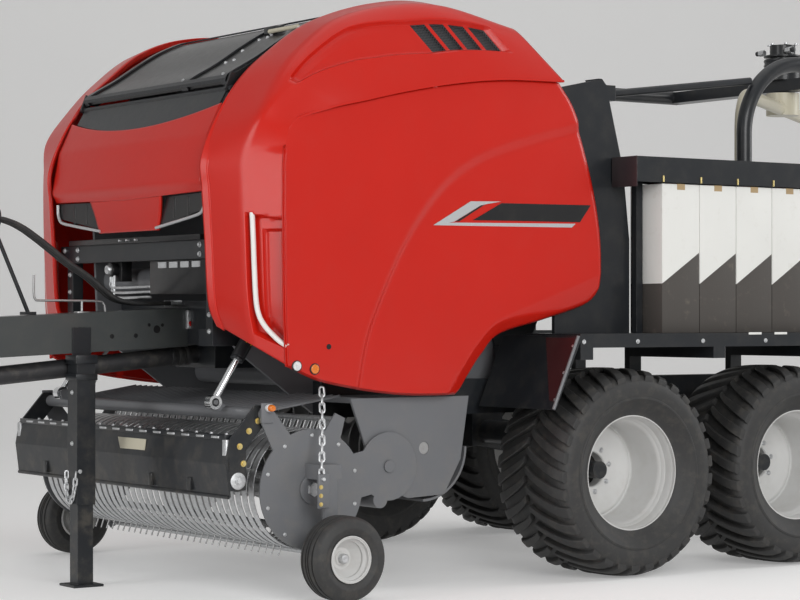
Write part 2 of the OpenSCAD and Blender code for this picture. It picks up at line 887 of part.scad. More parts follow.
module main_frame() {
    color("DimGray") {
        both() {
            block(rail_rear_x, rail_front_x, rail_y, rail_y + rail_w, rail_z, rail_top_z);
            block(axle_mid_x - bracket_half, axle_mid_x + bracket_half, rail_y, rail_y + rail_w + bracket_half / 4,
                rear_z, rail_z);
            block(rail_rear_x, rail_rear_x + beam_d, rear_y, rail_y + rail_w, rear_z, rail_z);
            block(rear_x, rail_rear_x + beam_d, rear_y, rear_y + rail_w, rear_z, rear_z + rear_h);
            block(fork_x - beam_d / 2, fork_x + beam_d / 2, rail_y, rail_y + rail_w, rear_z, rail_z);
            difference() {
                block(fork_x - lug_half, fork_x + lug_half, lug_y, lug_y + lug_t, rear_z + rear_h / 2,
                    fork_z + lug_half);
                bar(fork_x, fork_z, fork_r + run_gap, lug_y - over, lug_y + lug_t + over);
            }
        }
        block(rear_x, rear_x + beam_d, -rear_half_w, rear_half_w, rear_z, rear_z + rear_h);
        block(rail_rear_x, rail_rear_x + beam_d, -rail_y, rail_y, rear_z, rear_z + rear_h);
        block(fork_x - beam_d / 2, fork_x + beam_d / 2, -rail_y, rail_y, rear_z, rear_z + rear_h * 0.7);
        bar(axle_mid_x, bogie_z, bogie_r, -rail_y - rail_w, rail_y + rail_w);
    }
}

module table_brackets() {
    color("DimGray")
        both()
            difference() {
                block(table_x - lug_half, table_x + lug_half, rear_y, rear_y + lug_t, rear_z + rear_h,
                    table_z + lug_half);
                bar(table_x, table_z, table_pin_r + run_gap, rear_y - over, rear_y + lug_t + over);
            }
}

module bogie_beams() {
    y0 = rail_y + rail_w + bracket_half / 4;
    color("DimGray")
        both() {
            plate([[axle_x + bogie_half_h, axle_z - bogie_half_h], [axle_x + bogie_half_h, axle_z + bogie_half_h],
                [axle_mid_x + bracket_half, bogie_z + bogie_half_h],
                [axle_mid_x - bracket_half, bogie_z + bogie_half_h],
                [axle_x - axle_spread - bogie_half_h, axle_z + bogie_half_h],
                [axle_x - axle_spread - bogie_half_h, axle_z - bogie_half_h],
                [axle_mid_x, bogie_z - bogie_half_h]], y0, y0 + bogie_w);
            for (x = [axle_x, axle_x - axle_spread])
                bar(x, axle_z, stub_r, y0 + bogie_w / 2, wheel_y + disc_y + disc_t / 2);
        }
}

module drawbar() {
    h = drawbar_h / 2;
    t = drawbar_tip_h / 2;
    color("DimGray")
        plate([[drawbar_rear_x, drawbar_rear_z + h], [drawbar_bend_x, drawbar_bend_z + h],
            [drawbar_tip_x, drawbar_tip_z + t], [drawbar_tip_x, drawbar_tip_z - t],
            [drawbar_bend_x, drawbar_bend_z - h], [drawbar_rear_x, drawbar_rear_z - h]],
            -drawbar_w / 2, drawbar_w / 2);
}

module coupling_eye() {
    color("Gray")
        difference() {
            union() {
                translate([eye_x, 0, drawbar_tip_z - eye_h / 2])
                    cylinder(r = eye_r, h = eye_h);
                block(drawbar_tip_x, eye_x, -shank_half, shank_half, drawbar_tip_z - eye_h * 0.4,
                    drawbar_tip_z + eye_h * 0.4);
                block(drawbar_tip_x, drawbar_tip_x + eye_flange, -drawbar_w * 0.45, drawbar_w * 0.45,
                    drawbar_tip_z - drawbar_tip_h / 2, drawbar_tip_z + drawbar_tip_h / 2);
            }
            translate([eye_x, 0, drawbar_tip_z - eye_h])
                cylinder(r = eye_bore_r, h = 2 * eye_h);
        }
}

module jack_sleeve() {
    w = jack_w / 2;
    i = w - jack_wall;
    color("DimGray") {
        difference() {
            block(jack_x - w, jack_x + w, jack_y - w, jack_y + w, jack_low_z, jack_top_z + jack_wall);
            block(jack_x - i, jack_x + i, jack_y - i, jack_y + i, jack_low_z - over, jack_top_z);
        }
        block(jack_x - w, jack_x + w, drawbar_w / 2, drawbar_w / 2 + jack_wall, jack_top_z, drawbar_rear_z);
    }
}

module jack_leg() {
    i = jack_w / 2 - jack_wall - jack_gap;
    color("Silver") {
        block(jack_x - i, jack_x + i, jack_y - i, jack_y + i, foot_t / 2, jack_leg_z);
        block(jack_x - foot_w / 2, jack_x + foot_w / 2, jack_y - foot_w / 2, jack_y + foot_w / 2, 0, foot_t);
    }
}

module pto_shaft() {
    color("Black") {
        difference() {
            tube([pto_rear_x, 0, pto_rear_z] - pto_v * over, [pto_front_x, 0, pto_front_z], pto_r);
            block(pto_rear_x - 3 * over, pto_rear_x, -2 * pto_r, 2 * pto_r, pto_rear_z - 2 * pto_r,
                pto_rear_z + 2 * pto_r);
        }
        difference() {
            translate([pto_front_x - yoke_l / 2, 0, pto_front_z])
                rotate([0, 90, 0])
                    cylinder(r = yoke_r, h = yoke_l * 1.5);
            translate([pto_front_x + yoke_l - yoke_bore_l, 0, pto_front_z])
                rotate([0, 90, 0])
                    cylinder(r = yoke_bore_r, h = yoke_bore_l + over);
        }
        block(pto_front_x - yoke_l, pto_front_x - yoke_l * 0.7, -pto_r / 2, pto_r / 2, pto_front_z,
            drawbar_z(pto_front_x - yoke_l * 0.7) - drawbar_h / 2);
    }
}

module front_frame() {
    color("DimGray") {
        block(front_x, front_x + beam_d, -wall_y, wall_y, front_z, front_z + front_h);
        both() {
            block(front_x, post_x, wall_y + wall_t, post_y, front_z, front_z + side_arm_h);
            block(front_x, front_x + beam_d, wall_y + wall_t, post_y, front_z, lift_z + lift_ring_r);
            block(post_x - post_d, post_x, post_y - post_w, post_y, front_z, bar_z + bar_h);
            bar(lift_x, lift_z, lift_pin_r, post_y - over, lift_y + lift_ring_w + over / 2);
        }
        block(post_x - post_d, post_x, -bar_half, bar_half, bar_z, bar_z + bar_h);
    }
}

module gearbox() {
    color("DimGray") {
        block(front_x - gear_l, front_x, -gear_half, gear_half, gear_z, gear_z + gear_h);
        tube([front_x - over, 0, pto_rear_z], [pto_rear_x, 0, pto_rear_z], pto_r);
    }
}

module chamber_walls() {
    rollers = spread(wall_roller_shares, wall_rear_x, wall_l, wall_z, wall_h);
    color("DimGray") {
        both() {
            plate(spread(wall_shares, wall_rear_x, wall_l, wall_z, wall_h), wall_y, wall_y + wall_t);
            bar(gate_x, gate_z, gate_boss_r, wall_y, wall_y + wall_t);
            bar(gate_x, gate_z, gate_pin_r, wall_y, wall_y + wall_t + gate_gap + gate_t * 1.5);
            translate([roof_rear_x - over, hinge_y, hinge_z])
                rotate([0, 90, 0])
                    cylinder(r = hinge_r, h = roof_front_x + roof_w - roof_rear_x + 2 * over);
        }
        for (p = rollers)
            bar(p[0], p[1], roller_r, -wall_y - wall_t / 2, wall_y + wall_t / 2);
        for (x = [roof_front_x, roof_rear_x])
            block(x, x + roof_w, -roof_half, roof_half, wall_top_z, wall_top_z + roof_h);
    }
}

module feed_housing() {
    t = rotor_r + trough_gap;
    color("LightSlateGray") {
        both() {
            difference() {
                plate(spread(feed_shares, feed_rear_x, feed_l, feed_z - feed_h, feed_h), feed_y, feed_y + feed_t);
                bar(rotor_x, rotor_z, rotor_stub_r + run_gap, feed_y - over, feed_y + feed_t + over);
            }
            bar(pick_x, pick_z, pick_pin_r, feed_y, end_y + end_t * 2);
            block(feed_rear_x + feed_h * 0.2, rail_front_x, rail_y + rail_w, feed_y + feed_t, feed_z - feed_t * 2,
                feed_z);
        }
        translate([rotor_x, feed_y + feed_t / 2, rotor_z])
            rotate([90, 0, 0])
                linear_extrude(2 * feed_y + feed_t)
                    intersection() {
                        difference() {
                            circle(r = t + trough_t);
                            circle(r = t);
                        }
                        translate([-2 * t, -2 * t])
                            square([2 * t, 2 * t]);
                    }
    }
}

module intake_rotor() {
    count = floor((wall_y - star_t) / star_pitch);
    color("Gray") {
        bar(rotor_x, rotor_z, rotor_drum_r, -feed_y + over / 2, feed_y - over / 2);
        bar(rotor_x, rotor_z, rotor_stub_r, -feed_y - feed_t * 0.8, feed_y + feed_t * 0.8);
        for (i = [-count : count])
            translate([rotor_x, i * star_pitch + star_t / 2, rotor_z])
                rotate([90, i * 30, 0])
                    linear_extrude(star_t)
                        polygon([for (k = [0 : 7])
                            (k % 2 == 0 ? rotor_r : rotor_drum_r * 1.2) * [cos(k * 45), sin(k * 45)]]);
        both()
            for (i = [1 : 3])
                bar(rotor_x, rotor_z, rotor_r * 0.9, rail_y + rail_w + (i - half_share) * star_pitch,
                    rail_y + rail_w + (i - half_share) * star_pitch + star_t);
    }
}

module net_bin() {
    outer = spread(bin_shares, bin_x, bin_l, bin_z, bin_h);
    mid = [bin_x + bin_l * 0.45, bin_z + bin_h * 0.78];
    inner = [for (p = outer) toward(p, mid, bin_t * 1.6)];
    color("Black")
        difference() {
            union() {
                plate(outer, -bin_half, bin_half);
                both()
                    plate([[bin_x + bin_l - hood_pin_r * 3, bin_z + bin_h * 0.14], [bin_x + bin_l, bin_z + bin_h * 0.14],
                        [hood_pin_x + hood_pin_r * 2, hood_pin_z], [hood_pin_x, hood_pin_z - hood_pin_r * 2],
                        [hood_pin_x - hood_pin_r * 2, hood_pin_z]], bin_half - bin_t, bin_half);
            }
            plate(inner, -bin_half + bin_t, bin_half - bin_t);
            block(bin_x + bin_t, bin_x + bin_l * third_share, -bin_half + bin_t, bin_half - bin_t,
                bin_z + bin_h * 0.88, bin_z + bin_h + over);
            bar(hood_pin_x, hood_pin_z, hood_pin_r + run_gap, -bin_half - over, bin_half + over);
        }
}

module front_hood() {
    skin = concat(spread(hood_shares, hood_x, hood_deep, panel_z, hood_top_z - panel_z),
        [[hood_pin_x + hood_pin_r / 2, hood_pin_z + hood_pin_r / 2]]);
    top_half = bin_half - bin_t - ear_gap;
    half = [[panel_low_half, panel_z], [panel_half, hood_z], [hood_half, hood_z], [hood_half, hood_top_z],
        [top_half, hood_top_z], [top_half, hood_pin_z + over]];
    color("Crimson") {
        intersection() {
            plate(concat(skin, [for (p = back(skin)) p - [hood_t, 0]]), -hood_half, hood_half);
            translate([hood_pin_x - 2 * over, 0, 0])
                rotate([90, 0, 90])
                    linear_extrude(hood_x - hood_pin_x + 3 * over)
                        polygon(concat(half, [for (p = back(half)) [-p[0], p[1]]]));
        }
        bar(hood_pin_x, hood_pin_z, hood_pin_r, -hood_half, hood_half);
    }
}

function cover_row(shares) = [for (s = shares) [cover_x + s[0] * cover_l, s[2] * cover_y, cover_z + s[1] * cover_h]];
function row_inside(row, d, dy) = [for (e = row)
    let (q = toward([e[0], e[2]], [chamber_x, chamber_z], d))
    [q[0], e[1] - dy, q[1]]];

module side_cover() {
    front = [for (p = spread(cover_front_shares, cover_x, cover_l, cover_z, cover_h)) [p[0], cover_y, p[1]]];
    rear = [for (p = spread(cover_rear_shares, cover_x, cover_l, cover_z, cover_h)) [p[0], cover_y, p[1]]];
    crest = cover_row(cover_crest_shares);
    edge = cover_row(cover_edge_shares);
    n = len(front);
    m = len(rear);
    rows = [front, crest, edge, row_inside(edge, cover_t, 0), row_inside(crest, cover_t * 0.8, cover_t * 0.6),
        row_inside(front, cover_t, cover_t)];
    points = concat([for (r = rows) each r], rear, [for (p = rear) p - [0, cover_t, 0]]);
    f0 = 5 * n;
    r0 = 6 * n;
    i0 = r0 + m;
    strips = [for (r = [0 : 4]) for (i = [0 : n - 2])
        each [[r * n + i, r * n + i + 1, (r + 1) * n + i + 1], [r * n + i, (r + 1) * n + i + 1, (r + 1) * n + i]]];
    foot = [[0, n, 4 * n], [0, 4 * n, f0], [n, 2 * n, 3 * n], [n, 3 * n, 4 * n]];
    tail = [for (f = foot) back([for (k = f) k + n - 1])];
    rim = [for (j = [0 : m - 2]) [r0 + j, r0 + j + 1, i0 + j + 1, i0 + j]];
    ends = [[n - 1, r0, i0], [n - 1, i0, r0 - 1], [i0 - 1, 0, f0], [i0 - 1, f0, i0 + m - 1]];
    side = [concat([for (j = [m - 1 : -1 : 0]) r0 + j], [for (i = [n - 1 : -1 : 0]) i]),
        concat([for (i = [0 : n - 1]) f0 + i], [for (j = [0 : m - 1]) i0 + j])];
    color("Crimson") {
        polyhedron(points = points, faces = [for (f = concat(strips, foot, tail, rim, ends, side)) back(f)], convexity = 8);
        for (x = [chamber_x - knuckle_half, chamber_x + knuckle_half])
            difference() {
                union() {
                    translate([x - knuckle_l / 2, hinge_y, hinge_z])
                        rotate([0, 90, 0])
                            cylinder(r = knuckle_r, h = knuckle_l);
                    block(x - knuckle_l / 2, x + knuckle_l / 2, hinge_y, hinge_y + web_w, hinge_z, web_z);
                }
                translate([x - knuckle_l, hinge_y, hinge_z])
                    rotate([0, 90, 0])
                        cylinder(r = hinge_r + run_gap, h = 2 * knuckle_l);
            }
    }
}

module side_cover_left() {
    side_cover();
}

module side_cover_right() {
    mirror([0, 1, 0])
        side_cover();
}

module rear_quarters() {
    outline = spread(quarter_shares, quarter_front_x, quarter_l, deck_z, quarter_h);
    rear = [for (i = [1 : 5]) outline[i]];
    color("DimGray")
        both() {
            plate(outline, quarter_y - quarter_t, quarter_y);
            plate(concat(rear, [for (p = back(rear)) [p[0] + quarter_t, p[1]]]), quarter_in_y, quarter_y);
            block(stay_x, stay_x + 3 * quarter_t, leg_y - 2 * stay_r, quarter_y, stay_z - 2 * stay_r,
                stay_z + 2 * stay_r);
        }
}

module tailgate() {
    outer = spread(gate_shares, gate_x, gate_l, gate_z, gate_h);
    mid = [chamber_x, chamber_z];
    y0 = wall_y + wall_t + gate_gap;
    color("SlateGray") {
        plate(concat(outer, [for (p = back(outer)) toward(p, mid, shell_t)]), -y0 - gate_t, y0 + gate_t);
        both()
            difference() {
                union() {
                    plate(concat(outer, spread(gate_front_shares, gate_x, gate_l, gate_z, gate_h)), y0, y0 + gate_t);
                    bar(gate_x, gate_z, gate_boss_r, y0, y0 + gate_t);
                }
                bar(gate_x, gate_z, gate_pin_r + run_gap, y0 - over, y0 + gate_t + over);
            }
        for (p = spread(gate_roller_shares, gate_x, gate_l, gate_z, gate_h))
            bar(p[0], p[1], roller_r, -y0 - gate_t / 2, y0 + gate_t / 2);
    }
}

module platforms() {
    b = deck_z - deck_t;
    s = b - deck_beam;
    color("DimGray")
        both() {
            block(deck_rear_x, deck_front_x, deck_in_y, deck_y, b, deck_z);
            block(deck_rear_x, deck_front_x, deck_y - deck_beam, deck_y, s, deck_z);
            block(deck_rear_x, deck_front_x, deck_in_y, deck_in_y + deck_beam, s, deck_z);
            for (x = [deck_rear_x, axle_mid_x - support_w / 2, deck_front_x - support_w]) {
                block(x, x + support_w, rail_y + support_back, deck_y, s - support_h, s);
                block(x, x + support_w, rail_y + support_back, rail_y + rail_w, rail_top_z, s);
            }
            plate([[deck_front_x - guard_t, b], [deck_front_x + guard_t, b], [guard_x + guard_t, guard_z],
                [guard_x, guard_z]], guard_y, deck_y);
        }
}

module film_boxes() {
    color("White")
        both()
            for (i = [0 : 3])
                block(box_x - i * box_pitch - box_l, box_x - i * box_pitch, box_y, box_y + box_w, deck_z,
                    deck_z + box_h);
}

module box_rails() {
    z = deck_z + box_h + box_gap;
    color("DimGray")
        both() {
            difference() {
                block(top_rail_end, top_rail_x, top_rail_y, top_rail_y + top_rail_w, z, z + top_rail_h);
                block(top_rail_end + top_rail_t, top_rail_x - top_rail_t, top_rail_y + top_rail_t,
                    top_rail_y + top_rail_w - top_rail_t, z - over, z + top_rail_h - top_rail_t);
            }
            for (x = [top_rail_end, box_x + box_gap])
                block(x, x + mag_post, top_rail_y, top_rail_y + mag_post, deck_z, z + top_rail_h / 2);
        }
}

module gantry() {
    z = leg_top_z - leg_bend;
    color("DimGray") {
        both() {
            tube([leg_x, leg_y, deck_z], [leg_x, leg_y, z], leg_r);
            translate([leg_x - leg_bend, leg_y, z])
                rotate([90, 0, 0])
                    rotate_extrude(angle = 90)
                        translate([leg_bend, 0])
                            circle(r = leg_r);
            tube([leg_x - leg_bend, leg_y, leg_top_z], [wrap_x, leg_y, leg_top_z], leg_r);
            difference() {
                tube([stay_x + over, leg_y, stay_z], [leg_x - leg_r, leg_y, stay_rear_z], stay_r);
                block(stay_x, stay_x + 2 * over, leg_y - 2 * stay_r, leg_y + 2 * stay_r, stay_z - 2 * stay_r,
                    stay_z + 2 * stay_r);
            }
        }
        block(wrap_x - head_w / 2, wrap_x + head_w / 2, -leg_y - leg_r, leg_y + leg_r, leg_top_z - head_h / 2,
            leg_top_z + head_h / 2);
        translate([wrap_x, 0, leg_top_z - head_h / 2 - drive_shaft_l])
            cylinder(r = drive_shaft_r, h = drive_shaft_l + over);
    }
}

module rotor_drive() {
    color("DimGray")
        translate([wrap_x, 0, leg_top_z + head_h / 2]) {
            cylinder(r = drive_r, h = drive_h * 0.6);
            cylinder(r = drive_r * 0.7, h = drive_h);
        }
}

module on_arms() {
    for (a = [wrap_angle, wrap_angle + 180])
        translate([wrap_x, 0, 0])
            rotate([0, 0, a])
                children();
}

module wrap_rotor() {
    color("Wheat") {
        difference() {
            translate([wrap_x, 0, wrap_hub_top - wrap_hub_h])
                cylinder(r = wrap_hub_r, h = wrap_hub_h);
            translate([wrap_x, 0, leg_top_z - head_h / 2 - drive_shaft_l - wrap_gap])
                cylinder(r = drive_shaft_r + run_gap, h = drive_shaft_l + over);
        }
        on_arms() {
            tube([wrap_hub_r * 0.9, 0, arm_z], [post_orbit - arm_bend, 0, arm_z], arm_tube_r);
            translate([post_orbit - arm_bend, 0, arm_z - arm_bend])
                rotate([90, 0, 0])
                    rotate_extrude(angle = 90)
                        translate([arm_bend, 0])
                            circle(r = arm_tube_r);
            tube([post_orbit, 0, post_low_z], [post_orbit, 0, arm_z - arm_bend], arm_tube_r);
        }
    }
}

module stretchers() {
    color("SlateGray")
        on_arms()
            difference() {
                union() {
                    for (z = [stretch_z, stretch_top_z])
                        block(stretch_in, stretch_out, -stretch_lead, stretch_trail, z, z + stretch_t);
                    for (t = [-stretch_half, stretch_half])
                        translate([stretch_orbit, t, stretch_z])
                            cylinder(r = stretch_r, h = stretch_top_z - stretch_z + stretch_t / 2);
                    translate([film_orbit, film_off, stretch_z])
                        cylinder(r = core_r - seat_gap, h = stretch_top_z - stretch_z + stretch_t / 2);
                }
                translate([post_orbit, 0, stretch_z - over])
                    cylinder(r = arm_tube_r + seat_gap, h = stretch_top_z - stretch_z + stretch_t + 2 * over);
            }
}

module film_rolls() {
    color("WhiteSmoke")
        on_arms()
            translate([film_orbit, film_off, stretch_z + stretch_t])
                difference() {
                    cylinder(r = film_r, h = film_h);
                    translate([0, 0, -over])
                        cylinder(r = core_r, h = film_h + 2 * over);
                }
}

module table_frame() {
    color("Wheat") {
        both()
            difference() {
                union() {
                    block(table_x - table_arm_half, table_front_x, table_y, table_y + table_t,
                        table_roller_z - table_arm_half, table_roller_z + table_arm_half);
                    block(table_x - table_arm_half, table_x + table_arm_half, table_y, table_y + table_t,
                        table_z - table_pin_r, table_roller_z);
                }
                for (x = [wrap_x - table_half, wrap_x + table_half])
                    bar(x, table_roller_z, table_stub_r + run_gap, table_y - over, table_y + table_t + over);
            }
        bar(table_x, table_z, table_pin_r, -table_y - table_t / 2, table_y + table_t / 2);
        bar(wrap_x, table_roller_z - table_arm_half / 2, table_tube_r, -table_y - table_t / 2, table_y + table_t / 2);
    }
}

module table_roller(x) {
    color("DarkSlateGray") {
        bar(x, table_roller_z, table_roller_r, -table_roller_half, table_roller_half);
        bar(x, table_roller_z, table_stub_r, -table_y - table_t * 0.8, table_y + table_t * 0.8);
    }
}

module table_roller_front() {
    table_roller(wrap_x + table_half);
}

module table_roller_rear() {
    table_roller(wrap_x - table_half);
}

module transfer_fork() {
    color("Wheat") {
        both()
            plate(spread(fork_shares, fork_x, fork_l, fork_z, fork_h), fork_y, fork_y + fork_t);
        bar(fork_x, fork_z, fork_r, -lug_y - lug_t, lug_y + lug_t);
        for (s = [0.5, 0.95])
            bar(fork_x + s * fork_l, fork_z + fork_h * 0.62, fork_r, -fork_bar_half, fork_bar_half);
    }
}

module rods_and_top() {
    bar(top_x, top_z, top_r, -end_y - end_t, end_y + end_t);
    for (i = [-bands / 2 : bands / 2 - 1])
        tube([rod_x, (i + half_share) * band_pitch, rod_z], [top_x, (i + half_share) * band_pitch, top_z], rod_r);
}

module pickup_frame() {
    color("LightSlateGray") {
        both() {
            difference() {
                union() {
                    bar(reel_x, reel_z, band_r, end_y, end_y + end_t);
                    bar(pick_x, pick_z, pivot_end_r, end_y, end_y + end_t);
                    plate([[reel_x, reel_z - arm_r], [reel_x, reel_z + arm_r], [pick_x, pick_z + arm_r],
                        [pick_x, pick_z - arm_r]], end_y, end_y + end_t);
                    plate([[reel_x, reel_z + arm_r], [top_x - top_r, top_z + top_r], [top_x + top_r, top_z + top_r],
                        [top_x + top_r, top_z - top_r], [reel_x + arm_r * 1.6, reel_z + arm_r]], end_y, end_y + end_t);
                    for (a = [-band_wrap, band_wrap])
                        plate([for (q = ear_shares) [reel_x, reel_z] + q[0] * band_bar_c * [cos(a + q[1] * band_wrap),
                            sin(a + q[1] * band_wrap)]], end_y, end_y + end_t);
                }
                bar(reel_x, reel_z, reel_stub_r + run_gap, end_y - over, end_y + end_t + over);
                bar(pick_x, pick_z, pick_pin_r + run_gap, end_y - over, end_y + end_t + over);
            }
            block(gauge_x - gauge_half, gauge_x + gauge_half, end_y, gauge_arm_y + gauge_arm_t, gauge_low_z,
                gauge_low_z + gauge_h);
            block(gauge_x - gauge_arm_half, gauge_x + gauge_arm_half, gauge_arm_y, gauge_arm_y + gauge_arm_t,
                gauge_z - gauge_arm_half, gauge_low_z + gauge_h / 2);
            bar(gauge_x, gauge_z, gauge_stub_r, gauge_arm_y, gauge_y + (disc_y + disc_t / 2) * gauge_k);
            plate([[top_x, top_z], [top_x, top_z + top_r], [lift_eye_x - lift_ring_r, lift_eye_z + lift_pin_r * 2],
                [lift_eye_x + lift_pin_r * 2, lift_eye_z + lift_pin_r], [lift_eye_x + lift_pin_r, lift_eye_z - top_r]],
                lift_y - lift_ring_w - 1.5 * end_t, lift_y - lift_ring_w - end_t / 2);
            bar(lift_eye_x, lift_eye_z, lift_pin_r, lift_y - lift_ring_w - end_t, lift_y + lift_ring_w + end_t / 2);
        }
        rods_and_top();
        bar(cross_x, cross_z, cross_r, -end_y - end_t, end_y + end_t);
    }
}

module pickup_guards() {
    color("Silver")
        translate([reel_x, 0, reel_z]) {
            for (i = [-bands / 2 : bands / 2])
                translate([0, i * band_pitch + band_w / 2, 0])
                    rotate([90, 0, 0]) {
                        rotate([0, 0, -band_wrap])
                            rotate_extrude(angle = 2 * band_wrap)
                                translate([band_r - band_t, 0])
                                    square([band_t, band_w]);
                        for (a = [-band_wrap, band_wrap])
                            rotate([0, 0, a])
                                translate([band_r - band_t, -band_t / 2, 0])
                                    cube([band_bar_c - band_r + band_bar_r, band_t, band_w]);
                    }
            for (a = [-band_wrap, band_wrap])
                bar(band_bar_c * cos(a), band_bar_c * sin(a), band_bar_r, -end_y, end_y);
        }
}

module pickup_reel() {
    color("Gray") {
        bar(reel_x, reel_z, reel_tube_r, -end_y + over, end_y - over);
        bar(reel_x, reel_z, reel_stub_r, -end_y - end_t * 0.8, end_y + end_t * 0.8);
        for (y = [-end_y + 2 * over, -spider_t / 2, end_y - 2 * over - spider_t])
            bar(reel_x, reel_z, tine_bar_c + tine_bar_r / 2, y, y + spider_t);
        for (a = [20, 110, 200, 290]) {
            bar(reel_x + tine_bar_c * cos(a), reel_z + tine_bar_c * sin(a), tine_bar_r, -end_y + over, end_y - over);
            for (i = [-bands / 2 : bands / 2 - 1])
                tube([reel_x + tine_bar_c * cos(a), (i + half_share) * band_pitch, reel_z + tine_bar_c * sin(a)],
                    [reel_x + tine_tip_r * cos(a), (i + half_share) * band_pitch, reel_z + tine_tip_r * sin(a)], tine_r);
        }
    }
}

module crop_press() {
    color("DimGray") {
        both()
            difference() {
                union() {
                    plate([[top_x - press_half, top_z], [top_x, top_z + press_half], [top_x + press_half, top_z + press_half],
                        [press_x + press_half, press_top_z], [press_x + press_half, press_z - press_half],
                        [press_x - press_half, press_z - press_half], [press_x - press_half, press_top_z - press_half]],
                        press_y - press_t, press_y);
                    bar(press_x, press_z, press_half, press_y - press_t, press_y);
                }
                bar(top_x, top_z, top_r + run_gap, press_y - press_t - over, press_y + over);
            }
        bar(press_x, press_z, press_r, -press_y + press_t / 2, press_y - press_t / 2);
        plate([[press_x + press_half, press_low_z], [press_plate_x, press_mid_z], [press_x + press_half, press_top_z],
            [press_x + press_half - press_sheet, press_top_z], [press_plate_x - 2 * press_sheet, press_mid_z],
            [press_x + press_half - press_sheet, press_low_z]], -press_y, press_y);
    }
}

module along_lift() {
    translate([lift_x, lift_y, lift_z])
        rotate([0, lift_tilt, 0])
            children();
}

module lift_barrels() {
    color("DimGray")
        both()
            difference() {
                union() {
                    bar(lift_x, lift_z, lift_ring_r, lift_y - lift_ring_w, lift_y + lift_ring_w);
                    along_lift()
                        cylinder(r = barrel_r, h = barrel_l);
                }
                bar(lift_x, lift_z, lift_pin_r + run_gap, lift_y - lift_ring_w - over, lift_y + lift_ring_w + over);
                along_lift()
                    translate([0, 0, lift_ring_r])
                        cylinder(r = ram_r + run_gap, h = barrel_l);
            }
}

module lift_rods() {
    color("Silver")
        both()
            difference() {
                union() {
                    along_lift()
                        translate([0, 0, ram_start])
                            cylinder(r = ram_r, h = lift_l - ram_start - loose_r);
                    bar(lift_eye_x, lift_eye_z, lift_ring_r, lift_y - lift_ring_w, lift_y + lift_ring_w);
                }
                bar(lift_eye_x, lift_eye_z, loose_r, lift_y - lift_ring_w - over, lift_y + lift_ring_w + over);
            }
}

module tyre() {
    color("DimGray")
        tyre_ring(tyre_d, tyre_w, bead_r, bead_w);
}

module rim() {
    color("Silver")
        rim_ring(bead_r, bead_w, 1, stub_r);
}

module gauge_tyre() {
    color("DimGray")
        tyre_ring(gauge_d, gauge_w, gauge_bead_r, gauge_bead_w);
}

module gauge_rim() {
    color("Silver")
        rim_ring(gauge_bead_r, gauge_bead_w, gauge_k, gauge_stub_r);
}

module hose_support() {
    foot = drawbar_z(hose_x - 3 * hose_rod_r) + drawbar_h / 2;
    low = drawbar_z(coupler_x) + drawbar_h / 2;
    color("Black") {
        tube([hose_x, 0, foot + hose_rod_r], [hose_loop_x, 0, hose_loop_z - hose_loop_r], hose_rod_r);
        block(hose_x - 3 * hose_rod_r, hose_x + 3 * hose_rod_r, -3 * hose_rod_r, 3 * hose_rod_r, foot,
            foot + 1.5 * hose_rod_r);
        translate([hose_loop_x, 0, hose_loop_z])
            rotate([0, 90, 0])
                rotate_extrude()
                    translate([hose_loop_r, 0])
                        circle(r = hose_rod_r * 0.8);
        block(coupler_x, coupler_x + coupler_t, -drawbar_w / 2, drawbar_w / 2, low, low + coupler_h);
    }
}

module hoses() {
    color("Black")
        for (i = [-1, 0, 1])
            sweep([for (p = hose_route) [p[0], i * hose_gap, p[1]]], hose_r);
}

module rear_lamps() {
    color("Firebrick")
        both()
            block(rear_x - lamp_t, rear_x, rear_half_w - lamp_w, rear_half_w, rear_z + rear_h / 2 - lamp_h / 2,
                rear_z + rear_h / 2 + lamp_h / 2);
}

main_frame();
table_brackets();
bogie_beams();
drawbar();
coupling_eye();
jack_sleeve();
jack_leg();
pto_shaft();
front_frame();
gearbox();
chamber_walls();
feed_housing();
intake_rotor();
net_bin();
front_hood();
side_cover_left();
side_cover_right();
rear_quarters();
tailgate();
platforms();
film_boxes();
box_rails();
gantry();
rotor_drive();
wrap_rotor();
stretchers();
film_rolls();
table_frame();
table_roller_front();
table_roller_rear();
transfer_fork();
pickup_frame();
pickup_guards();
pickup_reel();
crop_press();
lift_barrels();
lift_rods();
gauge_at(1) gauge_tyre();  // gauge_tyre_left
gauge_at(1) gauge_rim();  // gauge_rim_left
gauge_at(-1) gauge_tyre();  // gauge_tyre_right
gauge_at(-1) gauge_rim();  // gauge_rim_right
wheel_at(axle_x, 1) tyre();  // tyre_front_left
wheel_at(axle_x, 1) rim();  // rim_front_left
wheel_at(axle_x, -1) tyre();  // tyre_front_right
wheel_at(axle_x, -1) rim();  // rim_front_right
wheel_at(axle_x - axle_spread, 1) tyre();  // tyre_rear_left
wheel_at(axle_x - axle_spread, 1) rim();  // rim_rear_left
wheel_at(axle_x - axle_spread, -1) tyre();  // tyre_rear_right
wheel_at(axle_x - axle_spread, -1) rim();  // rim_rear_right
hose_support();
hoses();
rear_lamps();
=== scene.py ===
import math

import bmesh
import bpy
from bpy.props import FloatProperty, FloatVectorProperty, IntProperty, PointerProperty
from mathutils import Matrix, Vector


